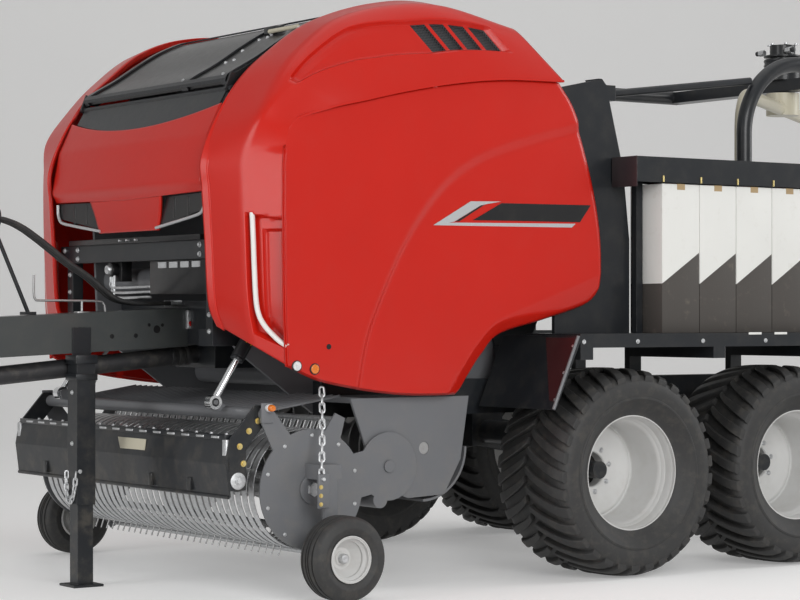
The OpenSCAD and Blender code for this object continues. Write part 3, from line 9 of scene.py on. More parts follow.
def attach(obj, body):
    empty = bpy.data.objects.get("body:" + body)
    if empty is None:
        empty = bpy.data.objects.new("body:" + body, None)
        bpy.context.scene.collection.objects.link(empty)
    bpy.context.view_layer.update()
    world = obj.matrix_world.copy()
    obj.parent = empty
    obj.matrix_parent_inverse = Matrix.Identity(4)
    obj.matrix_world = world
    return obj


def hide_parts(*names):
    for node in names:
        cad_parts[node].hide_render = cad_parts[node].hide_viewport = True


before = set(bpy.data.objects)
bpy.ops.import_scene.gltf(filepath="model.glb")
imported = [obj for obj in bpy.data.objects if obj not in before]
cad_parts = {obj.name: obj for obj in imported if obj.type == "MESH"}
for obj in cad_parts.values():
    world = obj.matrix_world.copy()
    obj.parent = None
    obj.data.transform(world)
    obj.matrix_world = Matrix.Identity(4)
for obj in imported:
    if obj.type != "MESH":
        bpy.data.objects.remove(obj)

bl_info = {
    "name": "Round baler with bale wrapper",
    "version": (1, 0, 0),
    "blender": (4, 5, 0),
    "location": "View3D > Sidebar > Baler",
    "description": "Builds the looks of a round baler with a bale wrapper",
    "category": "Object",
}

MM = 0.001

# Side cover rows in millimetres: the side's edge (x, z), the crest and the inner edge (x, y, z)
COVER_SIDE = (
    (1865, 1090), (1884, 1349), (1890, 1700), (1888, 1900), (1880, 2080), (1832, 2222),
    (1640, 2296), (1440, 2344), (1200, 2400), (900, 2455), (600, 2489), (230, 2499),
)
COVER_CREST = (
    (1955, 1060, 1185), (1985, 1045, 1400), (2000, 1045, 1700), (2005, 1045, 1930),
    (1998, 1055, 2090), (1955, 1120, 2262), (1835, 1120, 2430), (1700, 1105, 2580),
    (1480, 1090, 2742), (1180, 1080, 2825), (850, 1080, 2848), (430, 1080, 2770),
)
COVER_EDGE = (
    (2000, 795, 1285), (2046, 790, 1400), (2066, 790, 1700), (2082, 790, 1935),
    (2088, 790, 2075), (2012, 790, 2262), (1890, 790, 2455), (1740, 795, 2597),
    (1520, 835, 2755), (1220, 925, 2858), (880, 930, 2880), (400, 930, 2790),
)
COVER_REAR = ((230, 2499), (130, 2351), (30, 2051), (-30, 1760), (-40, 1499), (-25, 1440))
COVER_FOOT = (
    (-25, 1440), (60, 1376), (334, 1300), (585, 1230), (699, 1130), (790, 1009), (838, 945),
    (900, 938), (1245, 947), (1645, 1009), (1865, 1090),
)
# The crease that runs from the cover's foot up to its rear edge
COVER_CREASE = ((1470, 930), (1464, 974), (1390, 1305), (1129, 1785), (769, 2087), (76, 2290), (-120, 2330))
# Shares between the side's edge and the crest, one a row, that bound the pocket and the recess
RECESS_LOW = (0.06, 0.05, 0.05, 0.05, 0.20, 0.40, 0.76, 0.62, 0.46, 0.385, 0.40, 0.46)
RECESS_HIGH = (0.93, 0.95, 0.95, 0.95, 0.80, 0.64, 0.93, 0.95, 0.93, 0.83, 0.82, 0.90)
POCKET_ROWS = (0.3, 2.44)
RECESS_ROWS = (6.05, 10.5)
VENT_ROWS = ((9.1, 9.38), (9.46, 9.73), (9.81, 10.08), (10.16, 10.42))
# The white bar across the pocket: rows and shares from the side's edge to the crest
POCKET_BAR = (
    (2.44, 0.79), (2.0, 0.78), (1.5, 0.77), (1.05, 0.76), (0.78, 0.72), (0.6, 0.6), (0.48, 0.42), (0.4, 0.22),
    (0.37, 0.02),
)

# Grid lines of the side and of the band round it
SIDE_GRID = (150, 120)
BAND_GRID = 76

# Half the hood's width in millimetres
HOOD_HALF = 782
# Hood profile in millimetres, from the hinge down: depth x and height z
HOOD_PROFILE = ((1985, 2343), (2062, 2184), (2104, 1964), (2076, 1922), (2060, 1840), (2050, 1745))

# Net bin lid in millimetres (x, z), from its front foot up and back
BIN_LID = ((1895, 2440), (1893, 2478), (1740, 2568), (1600, 2660), (1480, 2731), (1350, 2788), (1250, 2813))

# Tailgate profile in millimetres (x, z), from its hinge down
GATE_PROFILE = (
    (437, 2703), (251, 2640), (20, 2380), (-129, 2050), (-170, 1750), (-120, 1451), (0, 1200), (110, 1075),
)

# Silver edge of the hood's side slots in millimetres (y, z)
SLOT_EDGE = ((296, 1757), (420, 1772), (600, 1794), (715, 1810), (752, 1826), (770, 1858), (774, 1908))

# Hose centre lines in millimetres (x, z), the same for each of the three hoses
HOSE_ROUTE = (
    (1760, 1388), (1830, 1388), (1930, 1386), (2040, 1390), (2131, 1412), (2200, 1460), (2277, 1519),
    (2386, 1585), (2496, 1664), (2570, 1715), (2630, 1752), (2700, 1782), (2775, 1794), (2830, 1772),
    (2875, 1722), (2910, 1650), (2940, 1560), (2960, 1490), (2965, 1460), (2965, 1432),
)

# Where each hose lies across the machine
HOSE_SIDES = (-30, 0, 30)

# The left and the right side
SIDES = (1, -1)

WHEELS = {
    "front_left": ("wheel_fl", -100, 1150),
    "front_right": ("wheel_fr", -100, -1150),
    "rear_left": ("wheel_rl", -1250, 1150),
    "rear_right": ("wheel_rr", -1250, -1150),
}
WHEEL_HEIGHT = 530
GAUGE_PLACE = (1658, 1370, 200)
REEL_PLACE = (1680, 508)
JACK_PLACE = (2360, 105)

# Front face of the first carton, step from one to the next, and length of each
CARTON_FRONT, CARTON_PITCH, CARTON_LENGTH = -345, 257, 254

# Axis of the wrapping arms, and the rollers of the table below them
WRAP_X = -2450
ROLLERS = {"front": -2030, "rear": -2870}
ROLLER_HEIGHT = 800

NODE_FINISHES = {
    "red": ("front_hood", "side_cover_left", "side_cover_right"),
    "dark": (
        "main_frame", "table_brackets", "bogie_beams", "jack_sleeve", "jack_leg", "front_frame", "gearbox",
        "rear_quarters", "tailgate", "platforms", "box_rails", "gantry", "rotor_drive", "table_roller_front",
        "table_roller_rear", "crop_press", "lift_barrels", "hose_support",
    ),
    "grey": ("chamber_walls", "feed_housing", "stretchers", "pickup_frame"),
    "beige": ("wrap_rotor", "table_frame", "transfer_fork"),
    "zinc": ("pickup_guards",),
    "slate": ("drawbar",),
    "steel": ("coupling_eye", "intake_rotor", "pickup_reel"),
    "chrome": ("lift_rods",),
    "tyre": (
        "tyre_front_left", "tyre_front_right", "tyre_rear_left", "tyre_rear_right", "gauge_tyre_left",
        "gauge_tyre_right",
    ),
    "silver": (
        "rim_front_left", "rim_front_right", "rim_rear_left", "rim_rear_right", "gauge_rim_left",
        "gauge_rim_right",
    ),
    "plastic": ("pto_shaft", "net_bin"),
    "hose": ("hoses",),
    "carton": ("film_boxes",),
    "film": ("film_rolls",),
    "lamp": ("rear_lamps",),
}

# The camera's heading in degrees; the backdrop stands across it
CAMERA_TURN = 145.312
# Lamps: name, place, aim, size in metres and power in watts
LIGHTS = (
    ("Key", (3.5, 11.5, 4.6), (0.0, 0.5, 1.3), 6.0, 740.0),
    ("Fill", (11.5, 1.0, 3.0), (1.0, 0.0, 1.2), 5.0, 330.0),
    ("Top", (-1.0, 1.0, 10.0), (-0.5, 0.0, 0.0), 9.0, 200.0),
    ("Rear", (-10.0, 4.0, 5.0), (-1.5, 0.0, 1.2), 5.0, 300.0),
)

# Colour of dry dust on paint
DUST = (0.30, 0.26, 0.20)

finishes = {}


class Term:
    """A shader value that can be used in sums."""

    def __init__(self, tree, socket):
        self.tree = tree
        self.socket = socket

    def combine(self, operation, first, second=0.0):
        """Makes one maths node from two values."""
        made = self.tree.nodes.new("ShaderNodeMath")
        made.operation = operation
        for socket, value in zip(made.inputs, (first, second)):
            if isinstance(value, Term):
                self.tree.links.new(value.socket, socket)
            else:
                socket.default_value = value
        return Term(self.tree, made.outputs[0])

    def __add__(self, other):
        return self.combine("ADD", self, other)

    __radd__ = __add__

    def __rsub__(self, other):
        return self.combine("SUBTRACT", other, self)

    def __mul__(self, other):
        return self.combine("MULTIPLY", self, other)

    def highest(self, other):
        return self.combine("MAXIMUM", self, other)


class Nodes:
    """A node tree and how nodes are added to it."""

    def __init__(self, tree):
        self.tree = tree
        tree.nodes.clear()

    def node(self, kind, settings=None, sockets=None, output=0):
        """Adds one node, sets it and its inputs, and returns one of its outputs."""
        made = self.tree.nodes.new(kind)
        for key, value in (settings or {}).items():
            setattr(made, key, value)
        for key, value in (sockets or {}).items():
            self.feed(made.inputs[key], value)
        return Term(self.tree, made.outputs[output])

    def feed(self, socket, value):
        """Links a value to an input, or sets it there."""
        if isinstance(value, Term):
            self.tree.links.new(value.socket, socket)
        elif socket.type == "RGBA":
            socket.default_value = (*tuple(value)[:3], 1.0)
        else:
            socket.default_value = value

    def shown(self):
        """1 for what is seen straight, in a mirror or through a pane, and 0 for light that falls on things."""
        rays = ("Is Camera Ray", "Is Glossy Ray", "Is Transmission Ray")
        return sum((self.node("ShaderNodeLightPath", output=ray) for ray in rays), 0.0)


class Finish(Nodes):
    """One material and the nodes that make it."""

    def __init__(self, name, constants=None):
        material = bpy.data.materials.new(name)
        material.use_nodes = True
        super().__init__(material.node_tree)
        self.shader = self.tree.nodes.new("ShaderNodeBsdfPrincipled")
        out = self.tree.nodes.new("ShaderNodeOutputMaterial")
        self.tree.links.new(self.shader.outputs[0], out.inputs[0])
        self.place = self.node("ShaderNodeTexCoord", output="Object")
        for socket, value in (constants or {}).items():
            self.set(socket, value)
        finishes[name] = material

    def set(self, socket, value):
        """Gives a value to one of the material's own inputs."""
        self.feed(self.shader.inputs[socket], value)

    def noise(self, scale, detail=4.0, roughness=0.55):
        sockets = {"Vector": self.place, "Scale": scale, "Detail": detail, "Roughness": roughness}
        return self.node("ShaderNodeTexNoise", None, sockets)

    def limits(self, value, low, high):
        """Maps low to 0 and high to 1, smoothly and clamped."""
        return self.node(
            "ShaderNodeMapRange", {"interpolation_type": "SMOOTHSTEP"}, {0: value, 1: low, 2: high}
        )

    def mix(self, share, first, second):
        """Mixes two colours."""
        return self.node("ShaderNodeMix", {"data_type": "RGBA"}, {0: share, 6: first, 7: second}, 2)

    def axis(self, name):
        """One coordinate of the object's own space."""
        return self.node("ShaderNodeSeparateXYZ", None, {0: self.place}, name)

    def bump(self, height, strength, distance=0.001, normal=None):
        sockets = {"Height": height, "Strength": strength, "Distance": distance}
        if normal:
            sockets["Normal"] = normal
        return self.node("ShaderNodeBump", None, sockets)

    def rounded(self, radius):
        """A normal with small rounded edges, and how far it turns from the true one."""
        soft = self.node("ShaderNodeBevel", {"samples": 4}, {"Radius": radius})
        true = self.node("ShaderNodeNewGeometry", output="Normal")
        alike = self.node("ShaderNodeVectorMath", {"operation": "DOT_PRODUCT"}, {0: soft, 1: true}, "Value")
        return soft, self.limits(1.0 - alike, 0.02, 0.3)


def painted(name, colour, edge_radius=0.0, dust=0.35, roughness=0.34, coat=0.15, shine=0.3):
    """Paint with a fine grain, faint shade drift, dust low down and worn edges on plain CAD forms."""
    finish = Finish(name, {"Coat Weight": coat, "Coat Roughness": 0.12, "Specular IOR Level": shine})
    drift = finish.noise(1.7, 3.0)
    tone = finish.mix(drift, Vector(colour) * 0.93, Vector(colour) * 1.06)
    low = 1.0 - finish.limits(finish.axis("Z"), 0.05, 1.15)
    patches = finish.limits(finish.noise(9.0, 8.0, 0.65), 0.42, 0.72)
    dusty = (low * 0.55 + 0.1) * patches * dust
    tone = finish.mix(dusty, tone, DUST)
    grain = finish.noise(420.0, 2.0)
    normal = finish.bump(grain, 0.06)
    if edge_radius:
        soft, edge = finish.rounded(edge_radius)
        worn = edge * finish.limits(finish.noise(55.0, 6.0), 0.45, 0.62)
        tone = finish.mix(worn * 0.5, tone, Vector(colour) * 0.5 + Vector((0.16, 0.16, 0.16)))
        normal = finish.bump(grain, 0.06, normal=soft)
    finish.set("Base Color", tone)
    finish.set("Roughness", finish.noise(30.0) * 0.1 + dusty * 0.4 + (roughness - 0.05))
    finish.set("Normal", normal)


def metal(name, colour, roughness, scale, edge_radius=0.0, stain=0.25):
    """Bare or plated metal with drawn marks and stains."""
    finish = Finish(name, {"Metallic": 1.0})
    marks = finish.noise(scale, 6.0, 0.7)
    spots = finish.limits(finish.noise(24.0, 8.0, 0.7), 0.5, 0.75)
    tone = finish.mix(marks, Vector(colour) * 0.8, Vector(colour) * 1.08)
    finish.set("Base Color", finish.mix(spots * stain, tone, (0.20, 0.16, 0.12)))
    finish.set("Roughness", marks * 0.16 + spots * 0.12 + (roughness - 0.08))
    soft = finish.rounded(edge_radius)[0] if edge_radius else None
    finish.set("Normal", finish.bump(marks, 0.12, normal=soft))


def galvanised(name, colour, edge_radius):
    """Zinc with a spangle of dull crystals."""
    finish = Finish(name, {"Metallic": 0.85})
    crystals = finish.node(
        "ShaderNodeTexVoronoi", {"feature": "F1"}, {"Vector": finish.place, "Scale": 90.0}, "Color"
    )
    shade = finish.node("ShaderNodeSeparateColor", None, {0: crystals}, 0)
    cloud = finish.noise(6.0, 5.0)
    tone = finish.mix(shade * 0.6 + cloud * 0.4, Vector(colour) * 0.72, Vector(colour) * 1.1)
    finish.set("Base Color", tone)
    finish.set("Roughness", shade * 0.16 + cloud * 0.14 + 0.27)
    soft = finish.rounded(edge_radius)[0]
    finish.set("Normal", finish.bump(cloud, 0.15, normal=soft))


def rubber(name, colour, dust, grain=260.0):
    """Black rubber with a fine grain and patches of dry soil."""
    finish = Finish(name)
    cloud = finish.noise(5.0, 6.0, 0.6)
    soil = finish.limits(finish.noise(17.0, 8.0, 0.7), 0.45, 0.7) * dust
    tone = finish.mix(cloud, Vector(colour) * 0.75, Vector(colour) * 1.3)
    finish.set("Base Color", finish.mix(soil, tone, (0.13, 0.115, 0.095)))
    finish.set("Roughness", cloud * 0.18 + soil * 0.2 + 0.52)
    finish.set("Normal", finish.bump(finish.noise(grain, 3.0), 0.25))


def moulded(name, colour, roughness=0.42, grain=600.0, edge_radius=0.0):
    """Moulded plastic with a fine leather-like grain."""
    finish = Finish(name)
    cloud = finish.noise(4.0, 5.0)
    dusty = finish.limits(finish.noise(12.0, 8.0, 0.65), 0.45, 0.75) * 0.18
    tone = finish.mix(cloud, Vector(colour) * 0.85, Vector(colour) * 1.15)
    finish.set("Base Color", finish.mix(dusty, tone, (0.30, 0.27, 0.22)))
    finish.set("Roughness", cloud * 0.12 + dusty * 0.5 + (roughness - 0.06))
    soft = finish.rounded(edge_radius)[0] if edge_radius else None
    finish.set("Normal", finish.bump(finish.noise(grain, 2.0), 0.12, normal=soft))


def board(name, colour):
    """Cardboard print with faint flutes and scuffs."""
    finish = Finish(name, {"Specular IOR Level": 0.3})
    flutes = finish.node(
        "ShaderNodeTexWave", {"bands_direction": "X"}, {"Vector": finish.place, "Scale": 26.0, "Distortion": 0.6}
    )
    scuffs = finish.limits(finish.noise(14.0, 8.0, 0.7), 0.55, 0.8)
    tone = finish.mix(finish.noise(3.0), Vector(colour) * 0.94, Vector(colour) * 1.03)
    finish.set("Base Color", finish.mix(scuffs * 0.22, tone, (0.42, 0.36, 0.28)))
    finish.set("Roughness", scuffs * 0.15 + 0.55)
    finish.set("Normal", finish.bump(flutes, 0.05))


def lens(name, colour):
    """A moulded lens with fine prisms."""
    finish = Finish(name, {"Coat Weight": 0.6, "Coat Roughness": 0.05})
    prisms = finish.node(
        "ShaderNodeTexVoronoi", {"distance": "CHEBYCHEV"}, {"Vector": finish.place, "Scale": 170.0}
    )
    finish.set("Base Color", finish.mix(prisms, Vector(colour) * 1.1, Vector(colour) * 0.6))
    finish.set("Roughness", prisms * 0.2 + 0.12)
    finish.set("Normal", finish.bump(prisms, 0.3))


def mesh_grille(name, colour):
    """Woven wire over a vent, with painted shade of the opening behind in the gaps between the wires."""
    finish = Finish(name, {"Metallic": 0.4})
    across = finish.node("ShaderNodeTexWave", {"bands_direction": "X"}, {"Vector": finish.place, "Scale": 38.0})
    along = finish.node("ShaderNodeTexWave", {"bands_direction": "Z"}, {"Vector": finish.place, "Scale": 38.0})
    wire = finish.limits(across.highest(along), 0.75, 0.92)
    # gaps between the wires painted dark: painted shade of the opening behind them
    finish.set("Base Color", finish.mix(wire, Vector(colour) * 0.25, Vector(colour) * 1.5))
    finish.set("Roughness", 0.75 - wire * 0.25)
    finish.set("Normal", finish.bump(wire, 0.6, 0.002))


class Curve:
    """A smooth curve through points, read from 0 to 1; even curves are read by length."""

    def __init__(self, points, even=False):
        self.points = [Vector(p) for p in points]
        self.marks = [0.0]
        for first, second in zip(self.points, self.points[1:]):
            self.marks.append(self.marks[-1] + ((second - first).length if even else 1.0))

    def at(self, share):
        goal = min(max(share, 0.0), 1.0) * self.marks[-1]
        i = 0
        while i < len(self.marks) - 2 and goal > self.marks[i + 1]:
            i += 1
        t = (goal - self.marks[i]) / (self.marks[i + 1] - self.marks[i])
        p1, p2 = self.points[i], self.points[i + 1]
        p0 = self.points[i - 1] if i else 2 * p1 - p2
        p3 = self.points[i + 2] if i + 2 < len(self.points) else 2 * p2 - p1
        return 0.5 * (
            2 * p1 + (p2 - p0) * t + (2 * p0 - 5 * p1 + 4 * p2 - p3) * t**2 + (3 * p1 - p0 - 3 * p2 + p3) * t**3
        )


def table(values, place):
    """Reads a list of numbers at a place between its rows."""
    i = min(max(int(place), 0), len(values) - 2)
    return values[i] + (values[i + 1] - values[i]) * min(max(place - i, 0.0), 1.0)


def smooth(value, low, high):
    """0 below low, 1 above high and smooth between them."""
    t = min(max((value - low) / (high - low), 0.0), 1.0)
    return t * t * (3 - 2 * t)


def around(count, start=0.0):
    """The sine and the cosine of angles spread evenly over a turn."""
    turns = [2 * math.pi * i / count + start for i in range(count)]
    return [(math.sin(turn), math.cos(turn)) for turn in turns]


def faces_of(verts):
    return {face for vert in verts for face in vert.link_faces}


def edges_of(verts):
    return list({edge for vert in verts for edge in vert.link_edges})


def verts_of(parts):
    return [part for part in parts if isinstance(part, bmesh.types.BMVert)]


def dye(verts, material):
    """Gives the faces of some vertices one of the piece's finishes."""
    for face in faces_of(verts):
        face.material_index = material


def outward(shape):
    """Turns the normals of closed forms outwards and makes open ones agree."""
    bmesh.ops.recalc_face_normals(shape, faces=shape.faces)


def soften(shape, edges, offset, segments=2):
    """Rounds some edges."""
    bmesh.ops.bevel(
        shape, geom=edges, offset=offset, segments=segments, profile=0.5, affect="EDGES", material=-1
    )


def surface(shape, columns, rows, place, material=0):
    """A grid laid out by a function of two shares; its finish is a number or a function of the same shares."""
    verts = bmesh.ops.create_grid(shape, x_segments=columns, y_segments=rows, size=0.5)["verts"]
    for face in faces_of(verts):
        middle = face.calc_center_median()
        face.material_index = material(middle.x + 0.5, middle.y + 0.5) if callable(material) else material
    for vert in verts:
        vert.co = place(vert.co.x + 0.5, vert.co.y + 0.5)
    return verts


def sheet(shape, columns, rows, place, thickness, material=0):
    """A grid with a wall thickness."""
    faces = list(faces_of(surface(shape, columns, rows, place, material)))
    bmesh.ops.recalc_face_normals(shape, faces=faces)
    bmesh.ops.solidify(shape, geom=faces, thickness=thickness)


def block(shape, low, high, bevel=3.0, material=0):
    """A box between two corners with rounded edges."""
    low, high = Vector(low), Vector(high)
    verts = bmesh.ops.create_cube(shape, size=1.0)["verts"]
    for vert in verts:
        vert.co = (low + high) / 2 + Vector(a * b for a, b in zip(vert.co, high - low))
    dye(verts, material)
    if bevel:
        soften(shape, edges_of(verts), bevel)


def towards(start, end):
    """A frame at the middle of two points whose z axis runs from the first to the second."""
    turn = (Vector(end) - Vector(start)).to_track_quat("Z", "Y").to_matrix().to_4x4()
    return Matrix.Translation((Vector(start) + Vector(end)) / 2) @ turn


def rod(shape, start, end, radius, sides=24, material=0, bevel=0.0, tip=None):
    """A round bar between two points, or a cone if its tip has another radius."""
    verts = bmesh.ops.create_cone(
        shape, cap_ends=True, segments=sides, radius1=radius, radius2=radius if tip is None else tip,
        depth=(Vector(end) - Vector(start)).length, matrix=towards(start, end),
    )["verts"]
    dye(verts, material)
    if bevel:
        rims = [edge for edge in edges_of(verts) if any(len(face.verts) > 4 for face in edge.link_faces)]
        soften(shape, rims, bevel)


def bar(shape, x, y, z, *form):
    """A rod along one axis: the place along that axis is a pair."""
    start, end = zip(*(place if isinstance(place, tuple) else (place, place) for place in (x, y, z)))
    rod(shape, start, end, *form)


def plate(shape, points, thickness, material=0, bevel=0.0):
    """A flat sheet with a given outline, thickened along a vector."""
    face = shape.faces.new([shape.verts.new(Vector(p)) for p in points])
    moved = verts_of(bmesh.ops.extrude_face_region(shape, geom=[face])["geom"])
    bmesh.ops.translate(shape, verts=moved, vec=Vector(thickness))
    verts = moved + list(face.verts)
    dye(verts, material)
    if bevel:
        soften(shape, edges_of(verts), bevel)


def turned(shape, profile, side=1.0, steps=64, material=0):
    """A body turned about the Y axis from (radius, offset) points."""
    before = set(shape.verts)
    verts = [shape.verts.new(Vector((radius, side * offset, 0.0))) for radius, offset in profile]
    edges = [shape.edges.new(pair) for pair in zip(verts, verts[1:])]
    bmesh.ops.spin(
        shape, geom=verts + edges, cent=(0, 0, 0), axis=(0, 1, 0), dvec=(0, 0, 0), angle=2 * math.pi, steps=steps,
        use_merge=True,
    )
    verts = [vert for vert in shape.verts if vert not in before]
    bmesh.ops.remove_doubles(shape, verts=verts, dist=0.01)
    dye([vert for vert in shape.verts if vert not in before], material)


def both_halves(half):
    """A profile and its mirror image; the last point of the half lies on the middle."""
    return list(half) + [(radius, -offset) for radius, offset in half[-2::-1]]


def pipe(shape, path, radius, sides=10, material=0, closed=False):
    """A round tube along a path."""
    path = [Vector(p) for p in path]
    if closed:
        path = path + path[:1]
    ahead = [second - first for first, second in zip(path, path[1:])]
    if closed:
        ahead = [ahead[-1] + ahead[0]] + [a + b for a, b in zip(ahead, ahead[1:])] + [ahead[-1] + ahead[0]]
    else:
        ahead = ahead[:1] + [a.normalized() + b.normalized() for a, b in zip(ahead, ahead[1:])] + ahead[-1:]
    turn = ahead[0].to_track_quat("Z", "Y")
    place = Matrix.Translation(path[0]) @ turn.to_matrix().to_4x4()
    ring = bmesh.ops.create_circle(shape, cap_ends=False, segments=sides, radius=radius, matrix=place)["verts"]
    verts = list(ring)
    first = edges = edges_of(ring)
    for point, before, after in zip(path[1:], ahead, ahead[1:]):
        grown = bmesh.ops.extrude_edge_only(shape, edges=edges)["geom"]
        ring = verts_of(grown)
        edges = [
            part for part in grown
            if isinstance(part, bmesh.types.BMEdge) and all(vert in ring for vert in part.verts)
        ]
        turn = before.rotation_difference(after) @ turn
        following = Matrix.Translation(point) @ turn.to_matrix().to_4x4()
        bmesh.ops.transform(shape, matrix=following @ place.inverted(), verts=ring)
        place = following
        verts += ring
    if not closed:
        bmesh.ops.holes_fill(shape, edges=first + edges, sides=0)
    dye(verts, material)


def bent(shape, points, steps, radius, sides=10, material=0):
    """A round tube along a smooth curve through points."""
    line = Curve(points, True)
    pipe(shape, [line.at(i / steps) for i in range(steps + 1)], radius, sides, material)


def chain(shape, path, length, wire, material=0):
    """Long links along a path, each turned a quarter from the last."""
    line = Curve(path, True)
    count = max(2, round(line.marks[-1] / (length - 2 * wire)))
    for i in range(count):
        start, end = line.at(i / count), line.at((i + 1) / count)
        spot = towards(start, end) @ Matrix.Rotation(math.pi / 2 * (i % 2), 4, "Z")
        half = length / 2 - wire * 2.2
        ring = []
        for across, along in around(12):
            reach = half if along > 0 else -half
            ring.append(spot @ Vector((across * wire * 2.1, 0, along * wire * 2.1 + reach)))
        pipe(shape, ring, wire, 6, material, True)


def bolt(shape, place, direction, size=9.0, material=0):
    """A washer with a six-sided head."""
    place, direction = Vector(place), Vector(direction).normalized()
    rod(shape, place, place + direction * size * 0.25, size * 1.15, 20, material)
    rod(shape, place + direction * size * 0.25, place + direction * size * 0.85, size * 0.8, 6, material)


def mirror(shape):
    """Turns a left-hand shape into a right-hand one."""
    bmesh.ops.scale(shape, vec=(1, -1, 1), verts=shape.verts)
    bmesh.ops.reverse_faces(shape, faces=shape.faces)


def piece(shape, name, body, looks, replaced=(), wall=0.0, sharp=0.6):
    """Turns a shape in millimetres into an object that rides on a body."""
    bmesh.ops.scale(shape, vec=(MM, MM, MM), verts=shape.verts)
    mesh = bpy.data.meshes.new(name)
    shape.to_mesh(mesh)
    shape.free()
    mesh.shade_smooth()
    mesh.set_sharp_from_angle(angle=sharp)
    for look in looks:
        mesh.materials.append(finishes[look])
    obj = bpy.data.objects.new(name, mesh)
    bpy.context.scene.collection.objects.link(obj)
    if wall:
        thick = obj.modifiers.new("Wall", "SOLIDIFY")
        thick.thickness = wall * MM
        thick.offset = -1.0
    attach(obj, body)
    if replaced:
        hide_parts(*replaced)
    return obj


